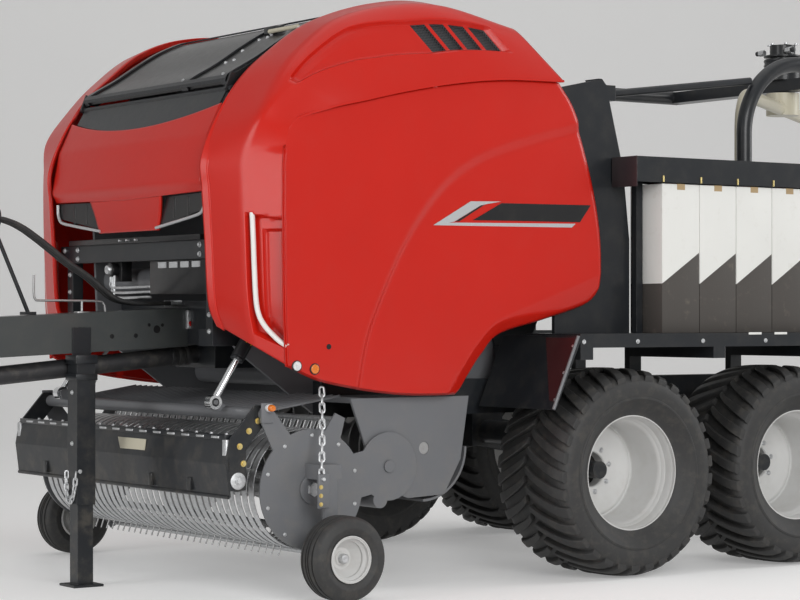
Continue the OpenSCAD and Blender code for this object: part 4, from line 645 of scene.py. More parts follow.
class CoverForm:
    """The left side cover's outer surface."""

    def __init__(self, sizes):
        self.step = sizes.crease_step / MM
        self.pocket = sizes.pocket_depth / MM
        self.recess = sizes.recess_depth / MM
        self.last = len(COVER_SIDE) - 1
        self.side = Curve([(x, 0.0, z) for x, z in COVER_SIDE])
        self.crest = Curve(COVER_CREST)
        self.edge = Curve(COVER_EDGE)
        self.rear = Curve([(x, 0.0, z) for x, z in COVER_REAR], True)
        self.foot = Curve([(x, 0.0, z) for x, z in COVER_FOOT], True)
        crease = Curve([(x, 0.0, z) for x, z in COVER_CREASE], True)
        self.crease = [crease.at(i / 90) for i in range(91)]

    def crown(self, x, z):
        """The gentle bulge of the side."""
        return 1240 - 26 * max((z - 1650) / 750, -0.9) ** 2 - 12 * ((x - 950) / 950) ** 2

    def creased(self, x, z):
        """The side with its crease: the front and upper part stands proud."""
        here = Vector((x, 0.0, z))
        near = min(range(len(self.crease) - 1), key=lambda i: (self.crease[i] - here).length_squared)
        along = self.crease[near + 1] - self.crease[near]
        off = here - self.crease[near]
        away = (along.x * off.z - along.z * off.x) / along.length
        width = 14 + 24 * smooth(z, 1250, 2250)
        return self.crown(x, z) - self.step * smooth(away, -width, width)

    def side_edge(self, row):
        """The side's edge under the band, at a row of the outline."""
        point = self.side.at(row / self.last)
        return Vector((point.x, self.creased(point.x, point.z), point.z))

    def proud(self, row):
        """How far the band stands out from the side's edge."""
        return 14 * (1 - smooth(row, 3.95, 4.25)) + 30 * smooth(row, 5.0, 6.2)

    def band(self, row, share):
        """A point of the band: share 0 is the inner flange, 1 the inner edge, 2 the crest, 3 the side's edge
        and 4 the foot of its lip."""
        edge, crest = self.edge.at(row / self.last), self.crest.at(row / self.last)
        foot = self.side_edge(row)
        lip = foot + Vector((0.0, self.proud(row), 0.0))
        back = edge + (foot - edge).normalized() * 34 + Vector((-14.0, 22.0, -14.0))
        marks = (back, edge, crest, lip, foot)
        i = min(int(share), 3)
        return marks[i].lerp(marks[i + 1], share - i)

    def shaped(self, row, share):
        """The band with rounded crest and lip, its pocket and its recess."""
        if share >= 4:
            return self.side_edge(row)
        soft = 0.10 + 0.14 * smooth(row, 4.5, 7.0)
        if share > 2.6:
            soft = 0.09
        spread = [self.band(row, min(max(share + soft * k / 3, 0.0), 3.999)) for k in range(-3, 4)]
        point = sum(spread, Vector()) / 7
        depth = self.sunk(row, share)
        if depth:
            out = (self.band(row, 3.0) - self.band(row, 2.0)).cross(
                self.band(row + 0.05, 2.5) - self.band(row - 0.05, 2.5)
            )
            if out.y < 0:
                out = -out
            point = point - out.normalized() * depth
        return point

    def vented(self, row, share):
        """Whether a place of the band lies in one of the vents."""
        over = 3.0 - share
        inside = table(RECESS_LOW, row) + 0.05 < over < table(RECESS_HIGH, row) - 0.05
        return inside and any(first < row < last for first, last in VENT_ROWS)

    def barred(self, row, over):
        """The middle of the bar that stands across the pocket."""
        return self.band(row, 3.0 - over) + Vector((-8.0, -8.0, 0.0))

    def sunk(self, row, share):
        """How deep the pocket, the recess or a vent is."""
        over = 3.0 - share
        low, high = table(RECESS_LOW, row), table(RECESS_HIGH, row)
        within = smooth(over, low, low + 0.05) * (1 - smooth(over, high - 0.05, high))
        top = POCKET_ROWS[1] - 0.12 * (1 - over)
        pocket = smooth(row, POCKET_ROWS[0], POCKET_ROWS[0] + 0.08) * (1 - smooth(row, top - 0.06, top))
        recess = smooth(row, RECESS_ROWS[0], RECESS_ROWS[0] + 0.3) * (
            1 - smooth(row, RECESS_ROWS[1] - 0.08, RECESS_ROWS[1])
        )
        inner = smooth(over, 0.16, 0.2) * (1 - smooth(over, 0.58, 0.62)) * (1 - smooth(row, 2.06, 2.12))
        vents = 14 if self.vented(row, share) else 0
        return within * (pocket * self.pocket * (0.6 + 0.4 * inner) + recess * self.recess + vents)

    def rows(self):
        """The band's grid rows, close together at the edges of the pocket, the recess and the vents."""
        marks = [0.0, 0.3, 0.38, 2.0, 2.06, 2.12, 2.2, 2.44, 3.95, 4.25, 5.0, 6.05, 6.35, 9.0]
        for first, last in VENT_ROWS:
            marks += [first, first + 0.015, last - 0.015, last]
        marks += [10.44, 10.5, 11.0]
        rows = [0.0]
        for first, last in zip(marks, marks[1:]):
            steps = max(1, round((last - first) * 24))
            rows += [first + (last - first) * (k + 1) / steps for k in range(steps)]
        return rows

    def row_share(self, row, place):
        """Lays the band's grid lines along the pocket's and the recess's edges."""
        low, high = 3 - table(RECESS_LOW, row), 3 - table(RECESS_HIGH, row)
        stops = (
            (0.0, 0.0), (0.04, 0.7), (0.08, 1.05), (0.22, 1.7), (0.36, high - 0.03), (0.39, high),
            (0.44, high + 0.055), (0.7, low - 0.055), (0.75, low), (0.79, low + 0.03), (0.9, 2.985), (0.95, 3.12),
            (1.0, 4.0),
        )
        for (first, start), (second, end) in zip(stops, stops[1:]):
            if place <= second:
                return start + (end - start) * (place - first) / (second - first)
        return 4.0

    def outline(self, name, share):
        """One edge of the side: its ends are the front foot, the neck, the rear top and the rear foot."""
        if name == "front":
            return self.side.at(share * 5 / self.last)
        if name == "top":
            return self.side.at((11 - share * 6) / self.last)
        if name == "rear":
            return self.rear.at(1 - share)
        return self.foot.at(share)

    def panel(self, along, up):
        """A point of the side between its four edges."""
        front, rear = self.outline("front", up), self.outline("rear", up)
        top, foot = self.outline("top", along), self.outline("foot", along)
        point = rear.lerp(front, along) + foot.lerp(top, up)
        point -= self.outline("foot", 0).lerp(self.outline("foot", 1), along).lerp(
            self.outline("top", 0).lerp(self.outline("top", 1), along), up
        )
        y = self.creased(point.x, point.z)
        return Vector((point.x, y, point.z))


def build_cover(form, shape):
    """The left cover's skin: the side, the band round it and rolled edges."""
    # the wheel arch, led on straight past the corner below it
    arch = [form.outline("foot", share / 160) for share in range(78)]
    arch += [arch[-1] + (arch[-1] - arch[-2]) * step for step in range(1, 16)]

    def rolled(along, up):
        point = form.panel(along**1.05, up)
        low = (point - form.panel(along**1.05, 0.0)).length
        back = (point - form.panel(0.0, up)).length
        here = Vector((point.x, 0.0, point.z))
        point.y -= max(16 - low, 0.0) ** 2 / 16 + max(26 - back, 0.0) * 0.7
        below = (1324 + (583 - point.x) * 0.351 - point.z) / 1.06
        point.y -= max(below, 0.0) * 0.16 * (1 - smooth(point.x, 560, 700))
        if point.z < 1560 and point.x < 960:
            near = min(arch, key=lambda spot: (spot - here).length_squared)
            width = 24 + 58 * smooth(near.x, 150, 720)
            point.y -= max(width - (near - here).length, 0.0) * 0.62
        return point

    stations = form.rows()

    def banded(place, across):
        row = stations[round(place * (len(stations) - 1))]
        return form.shaped(row, form.row_share(row, across))

    def look(place, across):
        spot = place * (len(stations) - 1)
        row = table(stations, spot)
        return 1 if form.vented(row, form.row_share(row, across)) else 0

    surface(shape, *SIDE_GRID, rolled)
    surface(shape, len(stations) - 1, BAND_GRID, banded, look)
    bmesh.ops.remove_doubles(shape, verts=shape.verts, dist=0.4)
    outward(shape)
    sample = max(shape.faces, key=lambda face: face.calc_center_median().y)
    if sample.normal.y < 0:
        bmesh.ops.reverse_faces(shape, faces=shape.faces)


def hood_depth(z):
    """The hood's profile with softly rounded creases."""

    def raw(height):
        for (x0, z0), (x1, z1) in zip(HOOD_PROFILE, HOOD_PROFILE[1:]):
            if height >= z1:
                return x0 + (x1 - x0) * (z0 - height) / (z0 - z1)
        return HOOD_PROFILE[-1][0]

    return sum(raw(z + 5.0 * k) for k in range(-3, 4)) / 7


def hood_point(y, z, out=0.0):
    """A point of the hood, which bulges a little to the front."""
    return Vector((hood_depth(z) - 22 * (y / 786) ** 2 + out, y, z))


def hood_top(y):
    """The arc that the hood ends in at its top."""
    return 2262 + 79 * (y / HOOD_HALF) ** 2


def build_hood(shape):
    """The hood's two slopes, its lower lips and the panel in the middle below them."""

    def upper(across, up):
        y = HOOD_HALF * (2 * across - 1)
        low = 1902 + 16 * abs(y) / HOOD_HALF
        return hood_point(y, low + (hood_top(y) - low) * up)

    def middle(across, up):
        z = 1745 + 165 * up
        return hood_point((2 * across - 1) * (310 + 63 * up), z, -1.0)

    surface(shape, 100, 64, upper)
    surface(shape, 40, 16, middle)
    outward(shape)
    flip = [face for face in shape.faces if face.normal.x < 0]
    bmesh.ops.reverse_faces(shape, faces=flip)


def build_tyre(shape, side, sizes):
    """A carcass turned about the axle and two rows of slanted lugs."""
    deep = sizes.lug_height / MM
    crown = Curve([(0, 0, 530), (120, 0, 528), (205, 0, 522), (245, 0, 510), (268, 0, 492)], True)
    half = (
        (286, 200), (292, 212), (312, 218), (330, 240), (372, 266), (376, 271), (384, 271), (388, 268), (420, 275),
        (452, 270), (472, 260), (486, 246), (496, 222), (500, 150), (502, 60), (502, 0),
    )
    turned(shape, both_halves(half), side, 96)
    for hand in (-1, 1):
        start = len(shape.verts)
        lug = bmesh.ops.create_grid(shape, x_segments=3, y_segments=8, size=0.5)["verts"]
        for vert in lug:
            across, along = vert.co.x, vert.co.y + 0.5
            offset = 6 + 262 * along
            top = crown.at(along).z
            shift = 128 * along**0.8 + across * (34 + 26 * along)
            angle = (shift + (0 if hand > 0 else 50)) / WHEEL_HEIGHT
            vert.co = Vector((math.sin(angle) * top, hand * offset, math.cos(angle) * top))
        edges = [edge for edge in edges_of(lug) if len(edge.link_faces) == 1]
        for vert in verts_of(bmesh.ops.extrude_edge_only(shape, edges=edges)["geom"]):
            out = Vector((vert.co.x, 0, vert.co.z))
            spread = out.normalized() * (out.length - deep - 6)
            vert.co = Vector((spread.x, vert.co.y - hand * (6 if abs(vert.co.y) > 250 else -3), spread.z))
        soften(shape, edges, 4.0, 1)
        shape.verts.ensure_lookup_table()
        lug = [shape.verts[i] for i in range(start, len(shape.verts))]
        bmesh.ops.spin(
            shape, geom=lug + edges_of(lug) + list(faces_of(lug)), cent=(0, 0, 0), axis=(0, 1, 0), dvec=(0, 0, 0),
            angle=2 * math.pi * (1 - 1 / sizes.lugs), steps=sizes.lugs - 1, use_duplicate=True,
        )
    outward(shape)


def build_gauge(tyre, rim, side):
    """A ribbed gauge tyre, and the cap and the rolled lip of its rim."""
    half = (
        (102, 60), (108, 66), (120, 74), (138, 80.5), (142, 82.5), (147, 82.5), (151, 81), (174, 77), (188, 69),
        (195, 58), (198, 50), (197, 46), (190, 44), (190, 37), (198, 35), (199.5, 30), (199.5, 15), (191, 13),
        (191, 5), (200, 3), (200, 0),
    )
    turned(tyre, both_halves(half), side, 72)
    outward(tyre)
    lip = ((104, 69.5), (104, 73), (107, 76), (110.5, 74), (110.5, 70), (107, 69), (104, 69.5))
    turned(rim, lip, side, 56)
    turned(rim, ((0, 26), (17, 25), (22, 20), (23, -28), (30, -30)), side, 32, 1)
    outward(rim)


def build_rim(shape, side):
    """A deep rim with stepped bead seats, a dished disc, studs and a hub."""
    profile = (
        (88, -182), (89, -124), (94, -117), (150, -112), (168, -108), (212, -88), (228, -86), (236, -90),
        (241, -97), (246, -97), (250, -92), (252, -84), (255, 100), (262, 118), (270, 126), (276, 134),
        (279, 150), (282, 186), (288, 197), (299, 199), (302, 205), (298, 211), (286, 211), (286, 198),
        (285, 152), (272, 140), (262, 100), (260, -95), (270, -140), (284, -150), (286, -198), (299, -199),
        (302, -205), (298, -211), (286, -211), (276, -190), (262, -150), (254, -110), (246, -103), (232, -98),
        (212, -96), (160, -118), (96, -124),
    )
    turned(shape, profile, side, 80)
    hub = ((0, -78), (30, -79), (37, -86), (38, -172), (60, -176), (88, -182), (88, -186), (0, -186))
    turned(shape, hub[:4], side, 40, 1)
    turned(shape, hub[3:], side, 40, 2)
    outward(shape)
    for x, z in around(8, 0.2):
        bolt(shape, (x * 118, side * -116, z * 118), (0, side, 0), 12, 3)
    stem = Vector((math.sin(2.2), 0, math.cos(2.2)))
    rod(shape, stem * 258 + Vector((0, side * 60, 0)), stem * 244 + Vector((0, side * 96, 0)), 6, 10, 2)


def build_cartons(shape, side):
    """Four upright cartons a side with a slanted two-tone print and taped tops."""
    for i in range(4):
        front = CARTON_FRONT - CARTON_PITCH * i
        rear = front - CARTON_LENGTH
        low, high = Vector((rear, side * 1055, 1235)), Vector((front, side * 1310, 2005))
        low.y, high.y = min(low.y, high.y), max(low.y, high.y)
        start = len(shape.verts)
        block(shape, low, high, 5.0)
        shape.verts.ensure_lookup_table()
        verts = [shape.verts[j] for j in range(start, len(shape.verts))]
        geom = verts + edges_of(verts) + list(faces_of(verts))
        slope = Vector((0.64, 0.0, 1.0)).normalized()
        middle = Vector((front, 0, 1491))
        cut = bmesh.ops.bisect_plane(shape, geom=geom, plane_co=middle, plane_no=slope, dist=0.01)
        for face in faces_of(verts_of(cut["geom"])):
            if (face.calc_center_median() - middle).dot(slope) < 0:
                face.material_index = 1
        block(shape, (rear + 100, low.y - 0.6, 1975), (front - 100, high.y + 0.6, 2005.6), 0, 2)
        cap = Vector((front - 127, side * 1180, 2003))
        rod(shape, cap, cap + Vector((0, 0, 7)), 84, 28, 3, tip=78)


def colour(name, description, default):
    return FloatVectorProperty(name=name, description=description, subtype="COLOR", default=default)


def length(name, description, default):
    return FloatProperty(name=name, description=description, unit="LENGTH", default=default)


class BalerColours(bpy.types.PropertyGroup):
    """Paints and other colours."""

    red: colour("Red paint", "Colour of the covers and the hood", (0.53, 0.011, 0.004))
    dark: colour("Dark paint", "Colour of the frames", (0.015, 0.017, 0.020))
    grey: colour("Grey paint", "Colour of the plates", (0.155, 0.16, 0.17))
    beige: colour("Beige paint", "Colour of the wrapping table and arms", (0.62, 0.58, 0.45))
    white: colour("White", "Colour of the cartons and the bars", (0.78, 0.78, 0.75))
    amber: colour("Amber", "Colour of the side reflectors", (0.80, 0.20, 0.01))


class BalerSizes(bpy.types.PropertyGroup):
    """Sizes of what is added to the solids."""

    crease_step: length("Crease step", "Depth of the crease in the side covers", 0.022)
    pocket_depth: length("Pocket depth", "Depth of the corner pocket of the side covers", 0.058)
    recess_depth: length("Recess depth", "Depth of the recess that holds the vents", 0.026)
    cover_wall: length("Cover wall", "Thickness of the covers and the hood", 0.012)
    lug_height: length("Lug height", "Height of the tyres' lugs", 0.028)
    lugs: IntProperty(name="Lugs", description="Number of lugs on each side of a tyre", default=33)


class BALER_OT_finishes(bpy.types.Operator):
    """Makes the materials and gives one to each CAD node"""

    bl_idname = "baler.finishes"
    bl_label = "Finishes"

    def execute(self, context):
        colours = context.scene.baler_colours
        painted("red", colours.red, dust=0.1, coat=0.14)
        painted("dark", colours.dark, 0.004)
        painted("grey", colours.grey, 0.004, 0.3, 0.42, 0.15)
        painted("slate", (0.055, 0.060, 0.060), 0.004)
        painted("beige", colours.beige, 0.004, 0.3)
        painted("white", colours.white, 0.0, 0.15)
        painted("yellow", (0.75, 0.50, 0.02), 0.0, 0.2)
        painted("black", (0.010, 0.010, 0.011), 0.003, 0.2)
        painted("plum", (0.040, 0.027, 0.030), 0.003, 0.2)
        # dark red of the mudguard's wedge: a painted reflection of the red side cover
        painted("red_reflection", (0.050, 0.014, 0.015), 0.003, 0.2)
        galvanised("zinc", (0.62, 0.63, 0.64), 0.003)
        metal("steel", (0.42, 0.42, 0.42), 0.42, 60.0, 0.003)
        metal("chrome", (0.80, 0.81, 0.82), 0.14, 200.0, 0.0, 0.05)
        painted("trim", (0.45, 0.46, 0.47), 0.0, 0.05, 0.26, 0.4, 0.5)
        metal("brass_zinc", (0.72, 0.58, 0.25), 0.34, 90.0, 0.0, 0.1)
        rubber("tyre", (0.022, 0.022, 0.022), 0.22)
        rubber("hose", (0.018, 0.018, 0.019), 0.2, 500.0)
        painted("silver", (0.62, 0.62, 0.61), 0.0, 0.25, 0.34, 0.25)
        moulded("plastic", (0.022, 0.022, 0.024), 0.42, 600.0, 0.003)
        board("carton", colours.white)
        board("carton_dark", (0.075, 0.068, 0.062))
        moulded("tape", (0.42, 0.30, 0.16), 0.3)
        moulded("film", (0.55, 0.62, 0.55), 0.2, 300.0)
        lens("lamp", (0.55, 0.010, 0.008))
        lens("amber", colours.amber)
        lens("clear", (0.80, 0.80, 0.80))
        # grille of the covers' vents, with painted shade in the gaps between its wires
        mesh_grille("grille", (0.055, 0.056, 0.06))
        for look, nodes in NODE_FINISHES.items():
            for node in nodes:
                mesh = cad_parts[node].data
                mesh.materials.clear()
                mesh.materials.append(finishes[look])
        return {"FINISHED"}


class BALER_OT_stage(bpy.types.Operator):
    """Sets the camera, the lights and a pale floor that runs up into a backdrop"""

    bl_idname = "baler.stage"
    bl_label = "Stage"

    def execute(self, context):
        scene = context.scene
        camera = bpy.data.cameras.new("Camera")
        camera.lens = 106.506
        camera.sensor_fit = "HORIZONTAL"
        camera.sensor_width = 36.0
        camera.shift_y = 0.0184
        camera.clip_end = 200.0
        eye = bpy.data.objects.new("Camera", camera)
        eye.location = (7.683, 10.541, 1.33)
        eye.rotation_euler = (math.radians(90), 0.0, math.radians(CAMERA_TURN))
        scene.collection.objects.link(eye)
        scene.camera = eye
        for name, place, aim, size, power in LIGHTS:
            light = bpy.data.lights.new(name, "AREA")
            light.size = size
            light.energy = power
            lamp = bpy.data.objects.new(name, light)
            lamp.location = place
            lamp.rotation_euler = (Vector(aim) - Vector(place)).to_track_quat("-Z", "Y").to_euler()
            scene.collection.objects.link(lamp)
        world = bpy.data.worlds.new("Studio")
        world.use_nodes = True
        nodes = Nodes(world.node_tree)
        soft = nodes.node("ShaderNodeBackground", None, {"Color": (1.0, 0.98, 0.96), "Strength": 0.2})
        pale = nodes.node("ShaderNodeBackground", None, {"Color": (1.0, 1.0, 1.0), "Strength": 0.5})
        mix = nodes.node("ShaderNodeMixShader", None, {0: nodes.shown(), 1: soft, 2: pale})
        nodes.feed(nodes.tree.nodes.new("ShaderNodeOutputWorld").inputs[0], mix)
        scene.world = world
        floor = Finish("floor", {"Emission Strength": 0.24})
        floor.set("Emission Color", floor.mix(floor.shown(), (0.0, 0.0, 0.0), (1.0, 1.0, 1.0)))
        floor.set("Base Color", floor.mix(floor.noise(0.8), (0.80, 0.80, 0.80), (0.84, 0.84, 0.83)))
        floor.set("Roughness", floor.noise(6.0) * 0.1 + 0.6)
        floor.set("Alpha", 1.0 - floor.node("ShaderNodeNewGeometry", output="Backfacing"))
        shape = bmesh.new()

        def swept(across, along):
            x = -40 + 80 * across
            if along < 0.5:
                return Vector((x, 40 - 104 * along, 0.0))
            if along < 0.8:
                turn = (along - 0.5) / 0.3 * math.pi / 2
                return Vector((x, -12 - 6 * math.sin(turn), 6 - 6 * math.cos(turn)))
            return Vector((x, -18.0, 6 + (along - 0.8) * 100))

        surface(shape, 1, 40, swept)
        turn = Matrix.Rotation(math.radians(CAMERA_TURN - 180.0), 3, "Z")
        bmesh.ops.rotate(shape, cent=(0, 0, 0), matrix=turn, verts=shape.verts)
        outward(shape)
        if min(shape.faces, key=lambda face: face.calc_center_median().z).normal.z < 0:
            bmesh.ops.reverse_faces(shape, faces=shape.faces)
        mesh = bpy.data.meshes.new("Floor")
        shape.to_mesh(mesh)
        shape.free()
        mesh.shade_smooth()
        mesh.materials.append(finishes["floor"])
        sweep = bpy.data.objects.new("Floor", mesh)
        scene.collection.objects.link(sweep)
        scene.view_settings.view_transform = "Standard"
        return {"FINISHED"}


class BALER_OT_hoses(bpy.types.Operator):
    """Lays the three hoses from the frame over their support to the coupler plate"""

    bl_idname = "baler.hoses"
    bl_label = "Hoses"

    def execute(self, context):
        for i, y in enumerate(HOSE_SIDES):
            line = bpy.data.curves.new(f"hose_{i + 1}", "CURVE")
            line.dimensions = "3D"
            line.resolution_u = 8
            line.bevel_depth = 0.011
            line.bevel_resolution = 5
            line.use_fill_caps = True
            spline = line.splines.new("BEZIER")
            spline.bezier_points.add(len(HOSE_ROUTE) - 1)
            for point, (x, z) in zip(spline.bezier_points, HOSE_ROUTE):
                point.co = (x * MM, y * MM, z * MM)
                point.handle_left_type = point.handle_right_type = "AUTO"
            line.materials.append(finishes["hose"])
            hose = bpy.data.objects.new(f"hose_{i + 1}", line)
            context.scene.collection.objects.link(hose)
            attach(hose, "machine")
            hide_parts("hoses")
        return {"FINISHED"}


class BALER_OT_covers(bpy.types.Operator):
    """Builds both side covers with their bands, pockets, creases and trim"""

    bl_idname = "baler.covers"
    bl_label = "Side covers"

    def trim(self, form, hand):
        """The bar across the pocket, the reflectors and the blank strip on the side."""
        shape = bmesh.new()
        line = Curve([form.barred(row, over) for row, over in POCKET_BAR])
        pipe(shape, [line.at(i / 40) for i in range(41)], 12.5, 12)
        for x, z, look in ((1813, 1091, 1), (1715, 1076, 2)):
            y = form.creased(x, z)
            bar(shape, x, (y - 3, y + 5), z, 27, 28, 3, 2.0)
            bar(shape, x, (y + 4, y + 9), z, 23, 28, look, 2.0, 20)
        x, z = 1640, 1180
        bar(shape, x, (form.creased(x, z) - 4, form.creased(x, z) + 1.5), z, 13, 20, 3)
        strips = (
            (((1036, 1763), (809, 1885), (621, 1889), (700, 1876), (750, 1866), (910, 1783)), 4),
            (((796, 1793), (619, 1881), (44, 1886), (117, 1798)), 3),
            (((903, 1784), (752, 1864), (722, 1872), (880, 1785)), 3),
            (((1036, 1763), (1003, 1777), (146, 1790), (172, 1770)), 4),
        )
        for outline, look in strips:
            points = [Vector((x, form.creased(x, z) + 1.0, z)) for x, z in outline]
            plate(shape, points, (0, 2.0, 0), look)
        if hand == "right":
            mirror(shape)
        outward(shape)
        looks = ["white", "clear", "amber", "black", "trim"]
        piece(shape, f"cover_{hand}_trim", f"cover_{hand}", looks)

    def execute(self, context):
        sizes = context.scene.baler_sizes
        form = CoverForm(sizes)
        left = bmesh.new()
        build_cover(form, left)
        right = left.copy()
        mirror(right)
        for shape, hand in ((left, "left"), (right, "right")):
            piece(
                shape, f"cover_{hand}_skin", f"cover_{hand}", ["red", "grille"],
                [f"side_cover_{hand}"], sizes.cover_wall / MM, 0.7,
            )
            self.trim(form, hand)
        return {"FINISHED"}


class BALER_OT_hood(bpy.types.Operator):
    """Builds the front hood and the panel above it"""

    bl_idname = "baler.hood"
    bl_label = "Hood"

    def execute(self, context):
        shape = bmesh.new()
        build_hood(shape)
        piece(
            shape, "hood_skin", "hood", ["red"], ["front_hood"],
            context.scene.baler_sizes.cover_wall / MM, 0.5,
        )
        shape = bmesh.new()

        def above(across, up):
            y = -738 + 1476 * across
            foot = hood_point(y, hood_top(y), -16)
            return foot.lerp(Vector((1900, y, 2428)), up)

        surface(shape, 60, 10, above)
        outward(shape)
        bmesh.ops.reverse_faces(shape, faces=[face for face in shape.faces if face.normal.x < 0])
        bmesh.ops.solidify(shape, geom=shape.faces, thickness=8.0)
        bar(shape, 1905, (-HOOD_HALF, HOOD_HALF), 2415, 12, 20)
        piece(shape, "hood_panel", "hood", ["dark"])
        return {"FINISHED"}


class BALER_OT_wheels(bpy.types.Operator):
    """Builds the four carrying wheels and the two gauge wheels"""

    bl_idname = "baler.wheels"
    bl_label = "Wheels"

    def execute(self, context):
        sizes = context.scene.baler_sizes
        for place, (body, x, y) in WHEELS.items():
            side = 1 if y > 0 else -1
            move = Vector((x, y, WHEEL_HEIGHT))
            shape = bmesh.new()
            build_tyre(shape, side, sizes)
            bmesh.ops.translate(shape, vec=move, verts=shape.verts)
            piece(shape, f"tyre_{place}_tread", body, ["tyre"], [f"tyre_{place}"])
            shape = bmesh.new()
            build_rim(shape, side)
            bmesh.ops.translate(shape, vec=move, verts=shape.verts)
            looks = ["silver", "silver", "black", "zinc"]
            piece(shape, f"rim_{place}_dish", body, looks, [f"rim_{place}"])
        for hand, side in (("left", 1), ("right", -1)):
            tyre, rim = bmesh.new(), bmesh.new()
            build_gauge(tyre, rim, side)
            for shape in (tyre, rim):
                x, y, z = GAUGE_PLACE
                bmesh.ops.translate(shape, vec=(x, side * y, z), verts=shape.verts)
            piece(tyre, f"gauge_{hand}_tread", f"gauge_{hand}", ["tyre"], [f"gauge_tyre_{hand}"])
            piece(rim, f"gauge_{hand}_cap", f"gauge_{hand}", ["silver", "zinc"])
        return {"FINISHED"}


class BALER_OT_cartons(bpy.types.Operator):
    """Builds the cartons that hold spare film"""

    bl_idname = "baler.cartons"
    bl_label = "Cartons"

    def execute(self, context):
        shape = bmesh.new()
        for side in SIDES:
            build_cartons(shape, side)
        looks = ["carton", "carton_dark", "tape", "red"]
        piece(shape, "cartons", "machine", looks, ["film_boxes"], sharp=0.5)
        return {"FINISHED"}


class BALER_OT_front(bpy.types.Operator):
    """Builds the net bin, the hood's side slots and what shows in the front bay"""

    bl_idname = "baler.front"
    bl_label = "Front"

    def execute(self, context):
        self.bin_lid()
        self.slots()
        self.bay()
        return {"FINISHED"}

    def bin_lid(self):
        """The net bin's lid with straps, bolts, a handle and its side plates."""
        line = Curve([(x, 0, z) for x, z in BIN_LID], True)

        def lid(y, up, out=0.0):
            here, ahead = line.at(up), line.at(min(up + 0.02, 1.0)) - line.at(max(up - 0.02, 0.0))
            return Vector((here.x, y, here.z)) + Vector((ahead.z, 0, -ahead.x)).normalized() * out

        shape = bmesh.new()
        sheet(shape, 24, 40, lambda across, up: lid(-744 + 1488 * across, up), 8.0)
        for y, width in ((-735, 40), (300, 60), (695, 40)):
            sheet(shape, 2, 40, lambda across, up: lid(y + width * across, up, 3.0), -9.0, 1)
        for low, wide in ((0.02, 0.03), (0.9, 0.06)):
            sheet(shape, 20, 2, lambda across, up: lid(-735 + 1470 * across, low + wide * up, 3.0), -9.0, 1)
        for side in SIDES:
            foot = ((1250, 2745), (1470, 2690), (1830, 2440))
            points = [(x, side * 752, z) for x, z in BIN_LID + foot]
            plate(shape, points, (0, -8 * side, 0))
            lug = ((1862, 2480), (1895, 2497), (1929, 2415), (1905, 2391), (1881, 2415))
            plate(shape, [(x, side * 760, z) for x, z in lug], (0, -14 * side, 0))
        heads = (
            (420, 0.3), (420, 0.45), (420, 0.6), (480, 0.32), (480, 0.62), (250, 0.1), (640, 0.1), (330, 0.5),
        )
        for y, up in heads:
            bolt(shape, lid(y, up, 0.0), lid(y, up, 10.0) - lid(y, up), 9, 2)
        pipe(shape, [lid(470, 0.66, 20), lid(735, 0.66, 20)], 11, 12, 3)
        for y in (475, 730):
            pipe(shape, [lid(y, 0.66, -2), lid(y, 0.66, 20)], 9, 12, 2)
        block(shape, lid(380, 0.72, 0) - Vector((20, 0, 10)), lid(500, 0.72, 0) + Vector((30, 0, 26)), 4, 1)
        looks = ["black", "dark", "zinc", "beige"]
        piece(shape, "net_bin_lid", "machine", looks, ["net_bin"], sharp=0.5)

    def slots(self):
        """The hood's side slots with their silver edges."""
        shape = bmesh.new()
        for side in SIDES:
            slot = ((378, 1906), (778, 1914), (770, 1836), (318, 1766))
            plate(shape, [(2040, side * y, z) for y, z in slot], (-8, 0, 0), 1)
            bent(shape, [(2050, side * y, z) for y, z in SLOT_EDGE], 24, 8)
            for y in (460, 600):
                block(shape, (2020, side * y - 12, 1800), (2042, side * y + 12, 1900), 3, 1)
        outward(shape)
        piece(shape, "hood_slots", "hood", ["trim", "black"])

    def bay(self):
        """Valve boxes, lines, pegs, bolts and hose ends in the front bay, and the chains' hangers."""
        shape = bmesh.new()
        # cross rail, valve box with four pads, and pegs on the rail
        block(shape, (1945, -690, 1690), (2030, 690, 1718), 4, 1)
        block(shape, (1935, 120, 1430), (1990, 680, 1600), 5, 1)
        for i in range(4):
            block(shape, (1986, 215 + 112 * i, 1560), (1996, 293 + 112 * i, 1590), 2, 2)
        for y in (-96, -20, 70):
            bar(shape, (2030, 2050), y, 1704, 6, 14, 3, 1.5)
        bar(shape, (1960, 2004), -280, 1560, 36, 28, 1, 3.0)
        bar(shape, (2004, 2022), -280, 1560, 27, 28, 3, 2.0, 22)
        block(shape, (1900, -330, 1500), (1962, -230, 1604), 4, 1)
        # lines from the filter to the valve box
        for k, y in enumerate((-300, -280, -260)):
            z = 1470 - 26 * k
            path = ((y, 1530), (y, z + 30), (y + 24, z), (60, z), (110, z), (124, z))
            bent(shape, [(1985, *spot) for spot in path], 30, 7, 10, 3)
        # bolts of the cross beam and the posts
        for y in (-790, -640, 640, 790):
            for z in (1622, 1668):
                bolt(shape, (2000, y, z), (1, 0, 0), 12, 3)
        hanger = ((1700, 760, 1190), (1690, 900, 1140), (1640, 1112, 1050), (1632, 1150, 1016))
        for side in SIDES:
            for z in (1250, 1330, 1450, 1540):
                bolt(shape, (2000, side * 730, z), (1, 0, 0), 11, 3)
            bent(shape, [(x, side * y, z) for x, y, z in hanger], 16, 11, 12)
        # hose ends on the frame and on the coupler plate
        for y in HOSE_SIDES:
            bar(shape, (1758, 1790), y, 1388, 16, 6, 3)
            bar(shape, (1790, 1822), y, 1388, 14, 20, 3)
            bar(shape, 2965, y, (1432, 1446), 17, 6, 3)
            bar(shape, 2965, y, (1446, 1478), 14, 20, 3)
        piece(shape, "bay_fittings", "machine", ["dark", "black", "trim", "zinc"])


